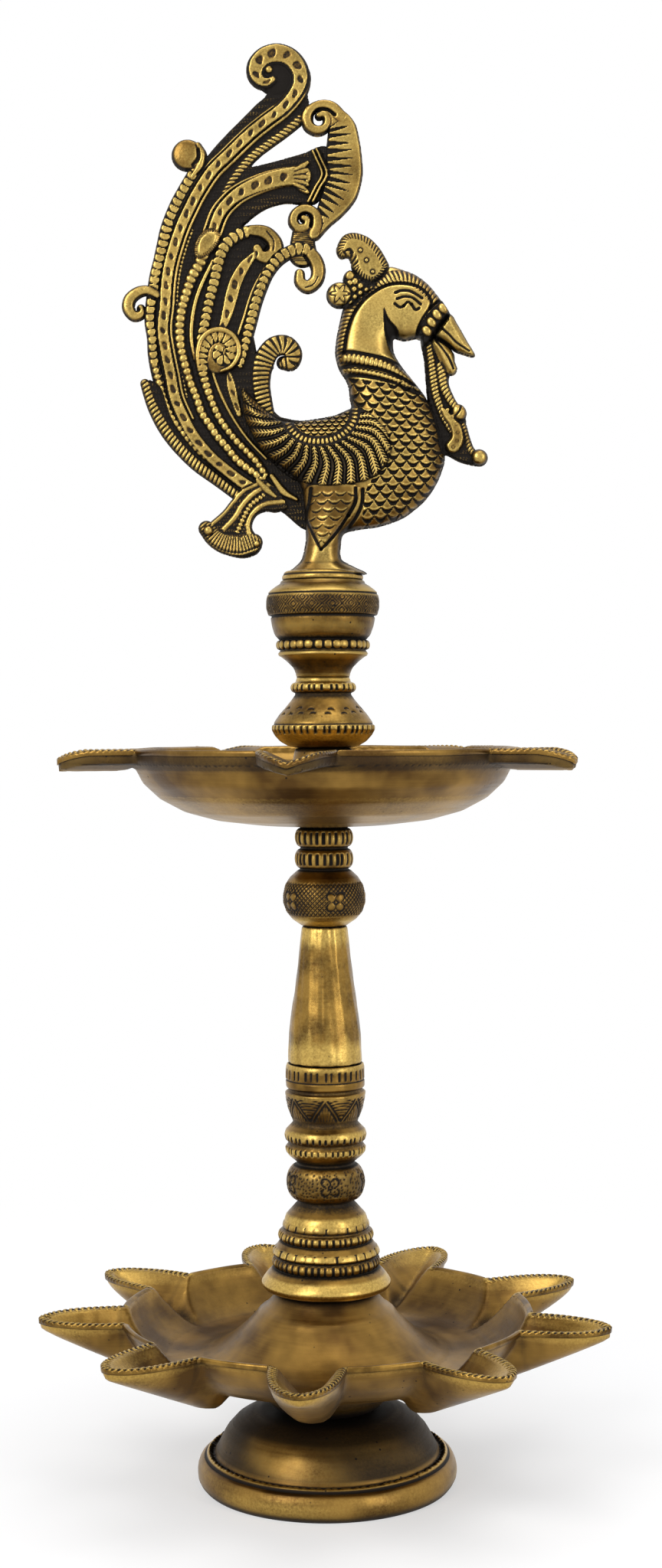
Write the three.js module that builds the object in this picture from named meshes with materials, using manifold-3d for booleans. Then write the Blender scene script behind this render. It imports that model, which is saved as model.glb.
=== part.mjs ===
// Two-tier brass oil lamp with a peacock finial.
// Millimetres, +Z up, base on z = 0, the lamp's turning axis on x = y = 0, front towards -Y.
import * as THREE from 'three';
import { mergeVertices } from 'three/addons/utils/BufferGeometryUtils.js';
import Module from 'manifold-3d';

const wasm = await Module();
wasm.setup();

// Heights of the pieces that stand on each other
const footHeight = 26;
const lowerTrayHeight = 42;
const lowerStemHeight = 80.9;
const shaftHeight = 48.8;
const knopHeight = 34.8;
const upperTrayHeight = 28.1;
const vaseBaseHeight = 24.7;
const vaseBowlHeight = 34.1;
const birdHeight = 187.6;

// Heights at which they meet, from the floor up
const footTop = footHeight;
const trayNeckTop = footTop + lowerTrayHeight;
const stemTop = trayNeckTop + lowerStemHeight;
const shaftTop = stemTop + shaftHeight;
const knopTop = shaftTop + knopHeight;
const upperNeckTop = knopTop + upperTrayHeight;
const vaseBaseTop = upperNeckTop + vaseBaseHeight;
const vaseTop = vaseBaseTop + vaseBowlHeight;

// Threads and their holes
const fitGap = 0.3;
const studRadius = 5;
const thinStudRadius = 3.5;
const studReach = 11;
const shortReach = 9;
const studSides = 12;
const footStudRadius = 4;

// How far a cutting shape stands out beyond the face it opens
const overcut = 1;

// Foot: a hollow bell with a cushion-shaped band round its edge
const footRadius = 46;
const footSeatRadius = 17;
const footWall = 3;
const footSides = 24;

// Nut and washer that pull the foot up against the tray
const washerRadius = 9.5;
const washerThickness = 1.6;
const nutAcrossFlats = 13;
const nutHeight = 6.5;
const boltEnd = 2.5;

// Lower tray: a dish with a trumpet cone in the middle and boat-shaped spouts round it
const trayRimDrop = 7;
const trayDepth = 15.4;
const trayRimRadius = 73;
const trayWall = 2;
const trayFloorThickness = 2.6;
const trayFloorInner = 44;
const trayFloorOuter = 54;
const bossRadius = 22.7;
const coneFootRadius = 23.8;
const coneNeckRadius = 17.2;
const traySides = 30;

const spoutCount = 9;
const spoutTurn = -4.85;
const spoutTip = 101;
const spoutHalfWidth = 12.4;
const spoutTipDepth = 3.8;
const spoutSlope = 0.45;
const spoutHeel = 56;
const channelTipDepth = 1.4;
const channelSlope = 0.41;
const spoutSteps = 4;

// Upper tray: a deeper dish with flat tongues, its rim level with the top of its middle cone
const upperRimRadius = 68.7;
const upperBand = 5.2;
const upperWall = 2.6;
const upperConeRadius = 10;
const upperFloorRadius = 19;
const upperFloorThickness = 4.6;
const lipCount = 5;
const lipTurn = -7;
const lipTip = 93;
const lipHalfWidth = 12;
const lipChannelDepth = 2.6;

// Turned pieces: their largest radii, and the number of flat sides that stand for the round
const collarRadius = 22.9;
const shaftFootRadius = 13.2;
const ballRadius = 14.7;
const vaseBaseRadius = 18.3;
const vaseRadius = 20;
const roundSides = 16;

// Peacock: one flat casting worked on both faces
const plateThickness = 4;
const ribDepth = 3.4;
const bodyHalfDepth = 11;
const discRadius = 14.3;
const discHeight = 3.3;

const deg = Math.PI / 180;

const brass = { color: 0xa8873f, roughness: 0.38, metalness: 0.95 };
const darkBrass = { color: 0x7d6230, roughness: 0.5, metalness: 0.9 };
const steel = { color: 0x8b8a86, roughness: 0.45, metalness: 0.9 };

// A closed three.js geometry as a solid, with its shared corners merged and its faces outwards
function toSolid(geometry) {
  geometry.deleteAttribute('normal');
  geometry.deleteAttribute('uv');
  const merged = mergeVertices(geometry, 1e-4);
  const position = merged.attributes.position.array;
  const corners = merged.index.array;
  const kept = [];
  let volume = 0;
  const at = (i) => new THREE.Vector3().fromArray(position, i * 3);
  for (let i = 0; i < corners.length; i += 3) {
    const [a, b, c] = [corners[i], corners[i + 1], corners[i + 2]];
    if (a === b || b === c || c === a) continue;
    kept.push(a, b, c);
    volume += at(a).dot(at(b).cross(at(c)));
  }
  if (volume < 0) kept.reverse();
  return new wasm.Manifold(new wasm.Mesh({
    numProp: 3,
    vertProperties: new Float32Array(position),
    triVerts: new Uint32Array(kept),
  }));
}

function join(solids) {
  return solids.reduce((whole, solid) => whole.add(solid));
}

function cut(solid, tools) {
  return tools.reduce((rest, tool) => rest.subtract(tool), solid);
}

function piece(name, solid, finish) {
  const { vertProperties, triVerts } = solid.getMesh();
  const geometry = new THREE.BufferGeometry();
  geometry.setAttribute('position', new THREE.BufferAttribute(new Float32Array(vertProperties), 3));
  geometry.setIndex(new THREE.BufferAttribute(new Uint32Array(triVerts), 1));
  geometry.computeVertexNormals();
  const mesh = new THREE.Mesh(geometry, new THREE.MeshStandardMaterial(finish));
  mesh.name = name;
  return mesh;
}

// A profile of [radius, height] pairs spun round the lamp's axis
function turned(profile, sides = roundSides) {
  const points = profile.map(([radius, height]) => new THREE.Vector2(radius, height));
  return toSolid(new THREE.LatheGeometry(points, sides).rotateX(Math.PI / 2));
}

// Part of a profile between two corners, each point given as its shares of the way out and up
function between([innerRadius, low], [outerRadius, high], shares) {
  return shares.map(([out, up]) => (
    [innerRadius + (outerRadius - innerRadius) * out, low + (high - low) * up]
  ));
}

// A round rod or hole between two heights on the lamp's axis
function rod(radius, from, to, sides = studSides) {
  return turned([[0, from], [radius, from], [radius, to], [0, to]], sides);
}

// A hole for a stud, from a joint up (reach above 0) or down (reach below 0)
function boreFor(radius, joint, reach) {
  const start = joint - Math.sign(reach) * overcut;
  return rod(radius + fitGap, Math.min(start, joint + reach), Math.max(start, joint + reach));
}

// Points of a half-round bulge between two heights, standing out from a core radius
function bulge(core, from, to, out, steps = 3) {
  const points = [];
  for (let i = 0; i <= steps; i += 1) {
    const angle = Math.PI * i / steps;
    const height = (from + to) / 2 - Math.cos(angle) * (to - from) / 2;
    points.push([core + out * Math.sin(angle), height]);
  }
  return points;
}

// Rings of points joined into one closed skin with a flat cap on each end
function loft(rings) {
  const count = rings[0].length;
  const corners = [];
  const last = (rings.length - 1) * count;
  for (let i = 0; i + 1 < rings.length; i += 1) {
    for (let j = 0; j < count; j += 1) {
      const [a, b] = [i * count + j, i * count + (j + 1) % count];
      corners.push(a, b, b + count, a, b + count, a + count);
    }
  }
  for (let j = 1; j + 1 < count; j += 1) {
    corners.push(0, j + 1, j, last, last + j, last + j + 1);
  }
  const geometry = new THREE.BufferGeometry();
  geometry.setAttribute('position', new THREE.Float32BufferAttribute(rings.flat(2), 3));
  geometry.setIndex(corners);
  return toSolid(geometry);
}

// Foot

const footOuter = between([0, 0], [footRadius, footTop], [
  [0, 1], [0.37, 1], [0.487, 0.996], [0.596, 0.95], [0.7, 0.831], [0.77, 0.646], [0.813, 0.469],
  [0.835, 0.377], [0.857, 0.346], [0.9, 0.346], [0.939, 0.381], [0.97, 0.346], [0.991, 0.246],
  [1, 0.154], [0.97, 0],
]);
const footInner = between([0, 0], [footRadius - footWall, footTop - footWall], [
  [0.967, 0], [0.963, 0.174], [0.823, 0.348], [0.798, 0.522], [0.749, 0.713], [0.674, 0.878],
  [0.572, 0.974], [0.419, 1], [0, 1],
]);
const foot = cut(turned([...footOuter, ...footInner], footSides), [
  rod(footStudRadius + fitGap, footTop - 2 * footWall, footTop + overcut),
]);

const washerTop = footTop - footWall;
const nutTop = washerTop - washerThickness;
const nutFoot = nutTop - nutHeight;
const footStud = rod(footStudRadius, nutFoot - boltEnd, footTop + studReach - fitGap);
const washer = cut(rod(washerRadius, nutTop, washerTop, roundSides), [
  rod(footStudRadius + fitGap, nutTop - overcut, washerTop + overcut),
]);
const nut = cut(rod(nutAcrossFlats / 2 / Math.cos(30 * deg), nutFoot, nutTop, 6), [
  rod(footStudRadius + fitGap, nutFoot - overcut, nutTop + overcut),
]);

// Lower tray

const trayRimHeight = trayNeckTop - trayRimDrop;
const trayFloorHeight = trayRimHeight - trayDepth;
const trayUnder = trayFloorHeight - trayFloorThickness;
const trayBody = turned([
  ...between([0, footTop], [bossRadius, trayUnder], [
    [0, 0], [0.714, 0], [0.916, 0.153], [1, 0.471], [1.075, 0.824], [1.322, 0.976],
  ]),
  ...between([trayFloorOuter, trayUnder], [trayRimRadius, trayRimHeight], [
    [-0.105, 0], [0.368, 0.178], [0.737, 0.478], [1, 0.889], [1, 1],
  ]),
  [coneFootRadius, trayRimHeight], [coneNeckRadius, trayNeckTop], [0, trayNeckTop],
], traySides);
const trayHollow = turned([
  [coneFootRadius, trayNeckTop],
  ...between([coneFootRadius, trayFloorHeight], [trayFloorInner, trayRimHeight], [
    [0, 1], [0.267, 0.649], [0.634, 0.247], [1, 0],
  ]),
  ...between([trayFloorOuter, trayFloorHeight], [trayRimRadius - trayWall, trayRimHeight], [
    [0, 0], [0.376, 0.13], [0.741, 0.442], [1, 1],
  ]),
  [trayRimRadius - trayWall, trayNeckTop], [coneFootRadius, trayNeckTop],
], traySides);

// One ring of a spout, square to its length: [across, height] pairs carried out to a distance
function acrossSpout(distance, section) {
  return section.map(([across, height]) => [across, -distance, height]);
}

function turnedAbout(solid, degrees) {
  return solid.rotate([0, 0, degrees]);
}

function spoutWidthAt(distance, tip, halfWidth, start) {
  const along = Math.max(0, (distance - start) / (tip - start));
  return halfWidth * Math.sqrt(Math.max(0.035, 1 - along ** 2.2));
}

// Distances from a tip inwards, close together near the tip
function stations(tip, inner, power) {
  return Array.from({ length: spoutSteps + 1 }, (_,
    i) => tip - (tip - inner) * (i / spoutSteps) ** power);
}

// Boat-shaped outside of a spout: rounded in plan, with a keel that rises towards the tip
function spoutHull() {
  const keelDepth = (distance) => spoutTipDepth + (spoutTip - distance) * spoutSlope;
  const floorDepth = trayDepth + trayFloorThickness;
  const rings = [
    ...[...stations(spoutTip, trayRimRadius, 1.6), spoutHeel * 1.1, spoutHeel].map((d) => [d,
      keelDepth(d)]),
    [spoutHeel * 0.875, floorDepth * 1.22], [spoutHeel * 0.75, floorDepth * 0.94],
  ];
  return loft(rings.map(([distance, depth]) => {
    const heel = Math.min(1, Math.max(0.45, (distance / spoutHeel - 0.64) / 0.36));
    const half = spoutWidthAt(distance, spoutTip, spoutHalfWidth, trayRimRadius) * heel;
    const keel = trayRimHeight - depth;
    const side = trayRimHeight - depth * 0.55;
    return acrossSpout(distance, [
      [half, trayRimHeight], [half * 0.86, side], [half * 0.3, keel],
      [-half * 0.3, keel], [-half * 0.86, side], [-half, trayRimHeight],
    ]);
  }));
}

// V-shaped channel that runs from the tip of a spout down to the floor of the dish
function spoutChannel() {
  const tip = spoutTip - trayWall;
  const distances = [...stations(tip, spoutHeel * 1.1, 1.4), trayFloorOuter * 0.98];
  return loft(distances.map((distance) => {
    const depth = Math.min(trayDepth, channelTipDepth + (tip - distance) * channelSlope);
    const half = spoutWidthAt(distance, tip, spoutHalfWidth - trayWall, trayRimRadius - trayWall);
    const wide = half * (depth + overcut) / depth;
    return acrossSpout(distance, [
      [wide, trayRimHeight + overcut], [0, trayRimHeight - depth], [-wide, trayRimHeight + overcut],
    ]);
  }));
}

const hull = spoutHull();
const channel = spoutChannel();
const spoutAngles = Array.from({ length: spoutCount }, (_, i) => spoutTurn + i * 360 / spoutCount);
const lowerTray = cut(join([trayBody, ...spoutAngles.map((a) => turnedAbout(hull, a))]), [
  trayHollow,
  ...spoutAngles.map((a) => turnedAbout(channel, a)),
  boreFor(footStudRadius, footTop, studReach),
  boreFor(studRadius, trayNeckTop, -studReach),
]);

// Stem

const lowerStem = cut(turned(between([0, trayNeckTop], [collarRadius, stemTop], [
  [0, 0], [0.769, 0], [0.943, 0.015], [1, 0.03], [1, 0.044], [0.834, 0.104],
  ...bulge(0.786, 0.106, 0.151, 0.048), [0.812, 0.176], [0.742, 0.215],
  ...bulge(0.69, 0.225, 0.267, 0.052), [0.638, 0.299], [0.624, 0.331], [0.498, 0.366], [0.432, 0.396],
  ...bulge(0.432, 0.4, 0.556, 0.175, 5), [0.568, 0.597], [0.624, 0.625], [0.585, 0.65], [0.624, 0.672],
  [0.616, 0.702], [0.485, 0.747], [0.62, 0.85], [0.62, 0.874], [0.585, 0.885], [0.603, 0.9], [0.594, 1],
  [0, 1],
])), [
  boreFor(studRadius, trayNeckTop, studReach),
  boreFor(studRadius, stemTop, -studReach),
]);
const taperedShaft = cut(turned(between([0, stemTop], [shaftFootRadius, shaftTop], [
  [0, 0], [1, 0], [0.962, 0.217], [0.818, 0.494], [0.697, 0.773], [0.614, 1], [0, 1],
])), [
  boreFor(studRadius, stemTop, studReach),
  boreFor(thinStudRadius, shaftTop, -studReach),
]);
const ballKnop = cut(turned(between([0, shaftTop], [ballRadius, knopTop], [
  [0, 0], [0.551, 0], [0.769, 0.072], [0.918, 0.147], [1, 0.261], [0.973, 0.365], [0.884, 0.457],
  [0.694, 0.534], [0.578, 0.572], ...bulge(0.578, 0.583, 0.779, 0.129),
  ...bulge(0.565, 0.802, 1, 0.143), [0, 1],
])), [
  boreFor(thinStudRadius, shaftTop, studReach),
  boreFor(studRadius, knopTop, -studReach),
]);

// Upper tray

const upperRimHeight = upperNeckTop;
const upperBandFoot = upperRimHeight - upperBand;
const upperInner = upperRimRadius - upperWall;
const upperBody = turned([
  ...between([0, knopTop], [upperRimRadius, upperBandFoot], [
    [0, 0], [0.349, 0.039], [0.576, 0.118], [0.719, 0.249], [0.853, 0.485], [0.902, 0.651], [0.981, 1],
    [1, 1],
  ]),
  [upperRimRadius, upperRimHeight], [0, upperRimHeight],
], traySides);
const upperFloor = knopTop + upperFloorThickness;
const upperHollow = turned([
  [upperConeRadius, upperRimHeight + overcut],
  ...between([upperConeRadius, upperFloor], [upperFloorRadius, upperRimHeight], [
    [0, 1], [0.267, 0.489], [1, 0],
  ]),
  ...between([upperFloorRadius, upperFloor], [upperInner, upperBandFoot], [
    [0.425, 0.06], [0.628, 0.235], [0.807, 0.563], [1, 1.077],
  ]),
  [upperInner, upperRimHeight + overcut], [upperConeRadius, upperRimHeight + overcut],
], traySides);

// A flat tongue, rounded in plan, and the shallow channel along it
function lipPlate() {
  const distances = [...stations(lipTip, upperRimRadius, 1.6), upperInner];
  return loft(distances.map((distance) => {
    const half = spoutWidthAt(distance, lipTip, lipHalfWidth, upperRimRadius);
    return acrossSpout(distance, [
      [half, upperRimHeight], [half, upperRimHeight - upperBand * 0.8],
        [0, upperRimHeight - upperBand * 1.26],
      [-half, upperRimHeight - upperBand * 0.8], [-half, upperRimHeight],
    ]);
  }));
}

function lipChannel() {
  const distances = [...stations(lipTip - trayWall, upperRimRadius, 1.4), upperInner - trayWall];
  return loft(distances.map((distance) => {
    const half = spoutWidthAt(distance, lipTip - trayWall, lipHalfWidth - trayWall, upperInner);
    const wide = half * (lipChannelDepth + overcut) / lipChannelDepth;
    return acrossSpout(distance, [
      [wide, upperRimHeight + overcut], [0, upperRimHeight - lipChannelDepth],
        [-wide, upperRimHeight + overcut],
    ]);
  }));
}

const lip = lipPlate();
const lipCut = lipChannel();
const lipAngles = Array.from({ length: lipCount }, (_, i) => lipTurn + i * 360 / lipCount);
const upperTray = cut(join([upperBody, ...lipAngles.map((a) => turnedAbout(lip, a))]), [
  upperHollow,
  ...lipAngles.map((a) => turnedAbout(lipCut, a)),
  rod(studRadius + fitGap, knopTop - overcut, upperRimHeight + overcut),
]);

// Vase under the bird

const vaseBase = cut(turned(between([0, upperNeckTop], [vaseBaseRadius, vaseBaseTop], [
  [0, 0], [0.536, 0], [0.754, 0.065], [0.874, 0.121], [0.956, 0.194], [1, 0.267], [0.951, 0.389],
  [0.699, 0.607], [0.546, 0.729], ...bulge(0.546, 0.781, 0.931, 0.087), [0.519, 0.947], [0.519, 1],
  [0, 1],
])), [
  boreFor(studRadius, upperNeckTop, studReach),
  boreFor(thinStudRadius, vaseBaseTop, -shortReach),
]);
const vaseBowl = cut(turned(between([0, vaseBaseTop], [vaseRadius, vaseTop], [
  [0, 0], [0.475, 0], [0.57, 0.132], [0.73, 0.22], ...bulge(0.75, 0.279, 0.39, 0.05), [0.88, 0.478],
  [0.925, 0.595], [0.91, 0.625], [1, 0.754], [0.98, 0.862], [0.74, 0.971], [0.74, 1], [0, 1],
])), [
  boreFor(thinStudRadius, vaseBaseTop, shortReach),
  boreFor(studRadius, vaseTop, -studReach),
]);

// Peacock, drawn flat in [across, height] from the middle of its disc, in hundredths of its height

const unit = birdHeight / 100;
const plateDrawn = plateThickness / unit;
const ribDrawn = ribDepth / unit;
const bodyDrawn = bodyHalfDepth / unit;
const discDrawn = discHeight / unit;

// Sections of a ribbon, as shares of its half width and its half depth
const ridged = [[1, 0], [0, 1], [-1, 0], [0, -1]];
const flatFaced = [[1, 0], [0.5, 1], [-0.5, 1], [-1, 0], [-0.5, -1], [0.5, -1]];

// A ribbon along a smooth line in the plane of the casting
function ribbon(points, width, depth, steps = 12, tip = 0.5, root = 1, section = ridged) {
  const curve = new THREE.CatmullRomCurve3(points.map(([x, z]) => new THREE.Vector3(x, 0, z)));
  const rings = [];
  for (let i = 0; i <= steps; i += 1) {
    const t = i / steps;
    const { x, z } = curve.getPointAt(t);
    const along = curve.getTangentAt(t);
    const half = width / 2 * (root + (1 - root) * Math.min(1, 3 * t)) * (1 + (tip - 1) * t ** 2);
    const thick = depth * (1 - 0.25 * t ** 2);
    rings.push(section.map(([across, out]) => (
      [x - along.z * half * across, out * thick, z + along.x * half * across]
    )));
  }
  return loft(rings);
}

// Points that wind inwards round a centre from where a line arrives
function scroll([fromX, fromZ], [x, z], turns, inner = 0.35, steps = 7) {
  const start = Math.atan2(fromZ - z, fromX - x);
  const radius = Math.hypot(fromX - x, fromZ - z);
  return Array.from({ length: steps }, (_, i) => {
    const t = (i + 1) / steps;
    const angle = start + turns * t * 2 * Math.PI;
    const reach = radius * (1 - (1 - inner) * t);
    return [x + Math.cos(angle) * reach, z + Math.sin(angle) * reach];
  });
}

function boss([x, z], acrossRadius, depth, tall = acrossRadius, tilt = 0, around = 12, rows = 6) {
  return toSolid(new THREE.SphereGeometry(1, around, rows).rotateX(Math.PI / 2)
    .scale(acrossRadius, depth, tall).rotateY(tilt * deg).translate(x, 0, z));
}

function disc([x, z], radius, thickness = plateDrawn * 1.15) {
  return toSolid(new THREE.CylinderGeometry(radius, radius, thickness, 8).translate(x, 0, z));
}

function plate(outline, thickness = plateDrawn) {
  const shape = new THREE.Shape();
  const [first, ...rest] = outline.map(([x, z]) => new THREE.Vector2(x, z));
  shape.moveTo(first.x, first.y);
  shape.splineThru([...rest, first]);
  const geometry = new THREE.ExtrudeGeometry(shape, {
    depth: thickness, bevelEnabled: false, curveSegments: 1,
  });
  return toSolid(geometry.rotateX(Math.PI / 2).translate(0, thickness / 2, 0));
}

const tailFill = plate([
  [-22.92, 76.76], [-28.25, 70.36], [-31.18, 62.9], [-32.52, 55.44], [-33.05, 46.91], [-32.52, 37.31],
    [-28.78, 27.19], [-23.45, 20.79], [-15.99, 15.72], [-9.59, 13.06], [-3.2, 10.13], [3.2, 11.73],
    [2.13, 28.78], [-5.33, 29.85], [-10.13, 33.58], [-11.41, 41.58], [-12.26, 49.04], [-9.59, 54.9],
    [-5.33, 58.1], [-4.8, 61.3], [-11.73, 65.78], [-16.52, 65.88], [-14.39, 68.76], [-11.73, 70.58],
    [-12.79, 76.23], [-18.12, 78.36],
]);

// Flared end of the second strip, between the tall plume and the crescent
const flare = plate([
  [0.58, 81.75], [-3.45, 80.31], [-10.65, 78.15], [-13.24, 77.43], [-16.98, 71.96], [-20.15, 65.92],
    [-17.85, 65.05], [-15.26, 65.92], [-12.09, 69.08], [-7.05, 70.95], [-0.86, 71.39], [2.3, 76.57],
]);

// Backing of the tall plume where it stands free of the others
const plumeBack = plate([
  [-25.76, 71.39], [-20.44, 79.16], [-16.12, 83.48], [-6.62, 90.38], [-5.18, 87.51], [-11.37, 82.18],
    [-15.26, 79.59], [-20.72, 72.83], [-23.32, 68.08],
]);

const feathers = [
  // tall plume that ends in the top scroll
  { line: [[-14.39, 19.94], [-18.39, 22.6], [-24.79, 29.58], [-28.78, 38.38], [-30.38, 47.97],
    [-30.12, 57.3], [-27.19, 67.16], [-22.12, 75.16], [-15.19, 82.36], [-8, 88.22], [-5.01, 91.15],
    [-4.26, 93.82]], eye: [-8.53, 95.31],
    turns: 0.84, width: 4.26, disc: 4.69, steps: 13, tip: 0.5, section: flatFaced },
  // outer beaded plume with a knob
  { line: [[-16.52, 17.38], [-20.26, 19.3], [-25.85, 24.25], [-30.12, 31.45], [-32.25, 39.98],
    [-32.68, 48.51], [-31.98, 57.3], [-30.38, 65.83], [-28.25, 73.03], [-25.37, 79.42]],
    width: 2.67, knob: 2.88, steps: 8 },
  // plume with a leaf bud
  { line: [[-14.39, 21.64], [-17.59, 23.77], [-22.39, 29.58], [-25.75, 37.85], [-26.76, 45.84],
    [-26.12, 53.57], [-24.25, 59.7]], width: 2.45, knob: 2.45, steps: 7 },
  // hooked plume
  { line: [[-14.39, 25.59], [-18.12, 30.92], [-22.39, 39.98], [-22.92, 47.17], [-21.32, 54.37],
    [-18.92, 61.03], [-15.19, 64.77], [-11.67, 65.35]], eye: [-11.67, 62.74],
    turns: -0.7, width: 2.56, steps: 10 },
  // large inner scroll
  { line: [[-13.86, 23.45], [-16.52, 27.19], [-20.15, 32.52], [-22.71, 37.85], [-23.03, 42.64]],
    eye: [-19.56, 43.34], turns: -0.8, width: 2.67, steps: 9 },
  // long leaf between the scrolls
  { line: [[-16.52, 47.97], [-17.86, 53.57], [-14.66, 58.9]], width: 2.45, steps: 4 },
  // plume nearest the neck
  { line: [[-13.11, 33.05], [-13.86, 37.85], [-14.39, 44.24], [-13.86, 50.64], [-11.35, 56.5],
    [-7.73, 60.45], [-3.73, 62.05]], eye: [-3.41, 59.17],
    turns: -0.75, width: 2.56, disc: 2.99, steps: 10 },
  // short ribbed curl
  { line: [[-10.87, 30.92], [-11.51, 34.65], [-11.89, 38.91], [-11.3, 42.11]], eye: [-7.78, 42.43],
    turns: -0.75, width: 2.45, disc: 3.41, steps: 8 },
  // shell-ended strip under the crescent
  { line: [[-22.39, 61.83], [-19.19, 67.16], [-15.46, 71.22], [-10.13, 74.36], [-1.6, 76.23]],
    width: 4.26, tip: 1, steps: 6, section: flatFaced },
  // outer small curl
  { line: [[-31.98, 55.01], [-34.86, 54.37]], eye: [-34.86, 52.24],
    turns: 0.5, width: 1.71, disc: 2.08, steps: 4 },
  // rope-edged plume along the under side
  { line: [[-13.86, 15.14], [-18.12, 17.38], [-24.2, 21.43], [-29.32, 27.19], [-32.52, 33.32],
    [-33.58, 37.85], [-33.16, 43.71]], width: 2.13, steps: 7 },
  // crescent with its curl, and the small scroll and neck that carry it
  { line: [[0.53, 88.27], [3.2, 85.07], [3.94, 80.49], [3.73, 76.01], [2.35, 71.22], [-0.53, 66.95],
    [-3.2, 65.35]], width: 5.54, tip: 0.6, root: 0.4, steps: 7, section: flatFaced },
  { line: [[-5.33, 87.42], [-2.67, 87.74], [-0.59, 86.78]], eye: [-0.59, 86.25],
    turns: 0.1, width: 3.2, disc: 2.83, steps: 3 },
  { line: [[-3.73, 60.77], [-3.68, 63.97], [-3.46, 67.48]], eye: [-3.46, 67.8],
    turns: 0.1, width: 3.73, tip: 1, disc: 2.67, steps: 4 },
];

function feather({ line, eye, turns, width, disc: back, knob, steps, tip = 0.45, root = 0.6,
  section }) {
  const end = line[line.length - 1];
  const path = eye ? [...line, ...scroll(end, eye, turns)] : line;
  const solids = [ribbon(path, width, ribDrawn, steps, tip, root, section)];
  if (back) solids.push(disc(eye, back));
  if (knob) solids.push(boss(end, knob, ribDrawn * 1.2, knob, 0, 8, 4));
  return join(solids);
}

const fanFoot = plate([
  [-12.81, 19.14], [-16.55, 16.26], [-17.85, 12.95], [-22.16, 10.51], [-22.6, 8.92], [-21.01, 6.62],
    [-17.13, 4.61], [-14.1, 4.32], [-11.66, 6.48], [-11.8, 7.48], [-13.24, 10.07], [-12.38, 12.38],
    [-8.64, 13.82], [-7.48, 16.98],
], ribDrawn * 1.6);

// Level slices of the bird, each [height, back, front, half depth], joined into one body
function slices(rows, around = 8) {
  return loft(rows.map(([height, back, front, depth]) => Array.from({ length: around }, (_, i) => {
    const angle = 2 * Math.PI * i / around;
    const [middle, half] = [(back + front) / 2, (front - back) / 2];
    return [middle + half * Math.cos(angle), depth * Math.sin(angle), height];
  })));
}

// A leaf that swells from a point and closes again, such as a wing or the crest
function leaf(points, width, depth, steps, lean = 1) {
  const curve = new THREE.CatmullRomCurve3(points.map(([x, z]) => new THREE.Vector3(x, 0, z)));
  const rings = [];
  for (let i = 0; i <= steps; i += 1) {
    const t = i / steps;
    const { x, z } = curve.getPointAt(t);
    const along = curve.getTangentAt(t);
    const swell = Math.sin(Math.PI * Math.min(0.97, Math.max(0.05, t)) ** lean) ** 0.7;
    rings.push(flatFaced.map(([across, out]) => (
      [x - along.z * width / 2 * swell * across, out * depth * swell,
        z + along.x * width / 2 * swell * across]
    )));
  }
  return loft(rings);
}

const bird = [
  // breast, throat and neck
  slices([
    [9.81, 3.73, 11.19, 2.13], [11.19, 2.13, 14.93, 3.94], [13.65, 0, 17.8, 5.01],
      [17.59, -1.6, 21.32, 5.86], [23.45, -2.13, 22.92, 5.86], [28.57, 1.07, 21.86, 5.54],
      [31.98, 4.58, 20.04, 5.01], [35.18, 5.12, 17.91, 4.58], [39.45, 3.73, 15.35, 4.26],
      [43.18, 2.56, 13.86, 4.05], [46.91, 2.88, 13.65, 3.94], [50.11, 4.58, 13.33, 3.73],
      [53.3, 7.46, 13.33, 2.67],
  ]),
  boss([-1.6, 22.92], 12.79, bodyDrawn * 0.7, 7.14, 14, 8, 5),
  boss([13.86, 51.07], 8.21, bodyDrawn * 0.7, 5.33, 8, 10, 5),
  leaf([[-15.25, 36.25], [-12.05, 29.58], [-6.4, 24.84], [0, 22.92], [6.93, 23.67], [15.46, 27.19]],
    13.86, bodyDrawn * 1.25, 7, 2),
  // hood band over the head
  ribbon([[4.8, 44.78], [4.05, 48.51], [5.86, 52.24], [9.38, 55.12], [13.33, 56.61], [17.38, 56.18],
    [20.79, 53.62], [23.13, 50.11]], 3.09, bodyDrawn * 0.62, 7, 0.8),
  // crest, its flower bead and the beads under it
  leaf([[9.28, 55.12], [9.38, 58.32], [8, 61.3], [5.86, 63.01], [4.05, 63.65], [2.45, 61.83]],
    7.46, ribDrawn, 6, 0.62),
  boss([3.2, 53.73], 2.35, ribDrawn * 1.3, 2.35, 0, 8, 4),
  boss([6.08, 56.18], 2.99, ribDrawn * 1.1, 2.45, 0, 8, 4),
  // beak
  ribbon([[20.26, 50.64], [23.77, 47.65], [26.44, 44.99], [28.46, 42.43]],
    6.61, bodyDrawn * 0.44, 4, 0.1),
  ribbon([[19.19, 47.97], [22.17, 43.92], [23.77, 39.45]], 5.33, bodyDrawn * 0.4, 3, 0.5),
  // tassel from the beak to the breast and its curls
  ribbon([[22.6, 41.58], [21.64, 37.31], [21.11, 32.52], [20.26, 27.72], [18.66, 22.92]],
    5.01, bodyDrawn * 0.4, 4, 0.95),
  boss([24.84, 31.66], 2.03, ribDrawn * 0.9, 2.67, 0, 8, 4),
  leaf([[20.26, 33.05], [23.99, 29.32], [26.12, 25.59], [23.99, 23.13]], 4.48, ribDrawn, 4),
  ribbon([[21.32, 24.52], [25.05, 22.81], [27.72, 22.71], [29, 23.99]], 2.67, ribDrawn, 4, 1),
  boss([29.1, 23.35], 2.08, ribDrawn, 2.24, 0, 8, 4),
];
const leg = [
  [2.88, -4.58, 5.12, 4.05], [4.48, -3.41, 2.99, 3.41], [9.06, -3.2, 3.62, 3.41],
    [13.33, -3.94, 4.58, 3.94], [17.06, -4.8, 5.86, 4.26],
];
const feet = [-6.72, 7.25, 4.48];
const [feetBack, feetFront, feetHalfDepth] = feet;
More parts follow.
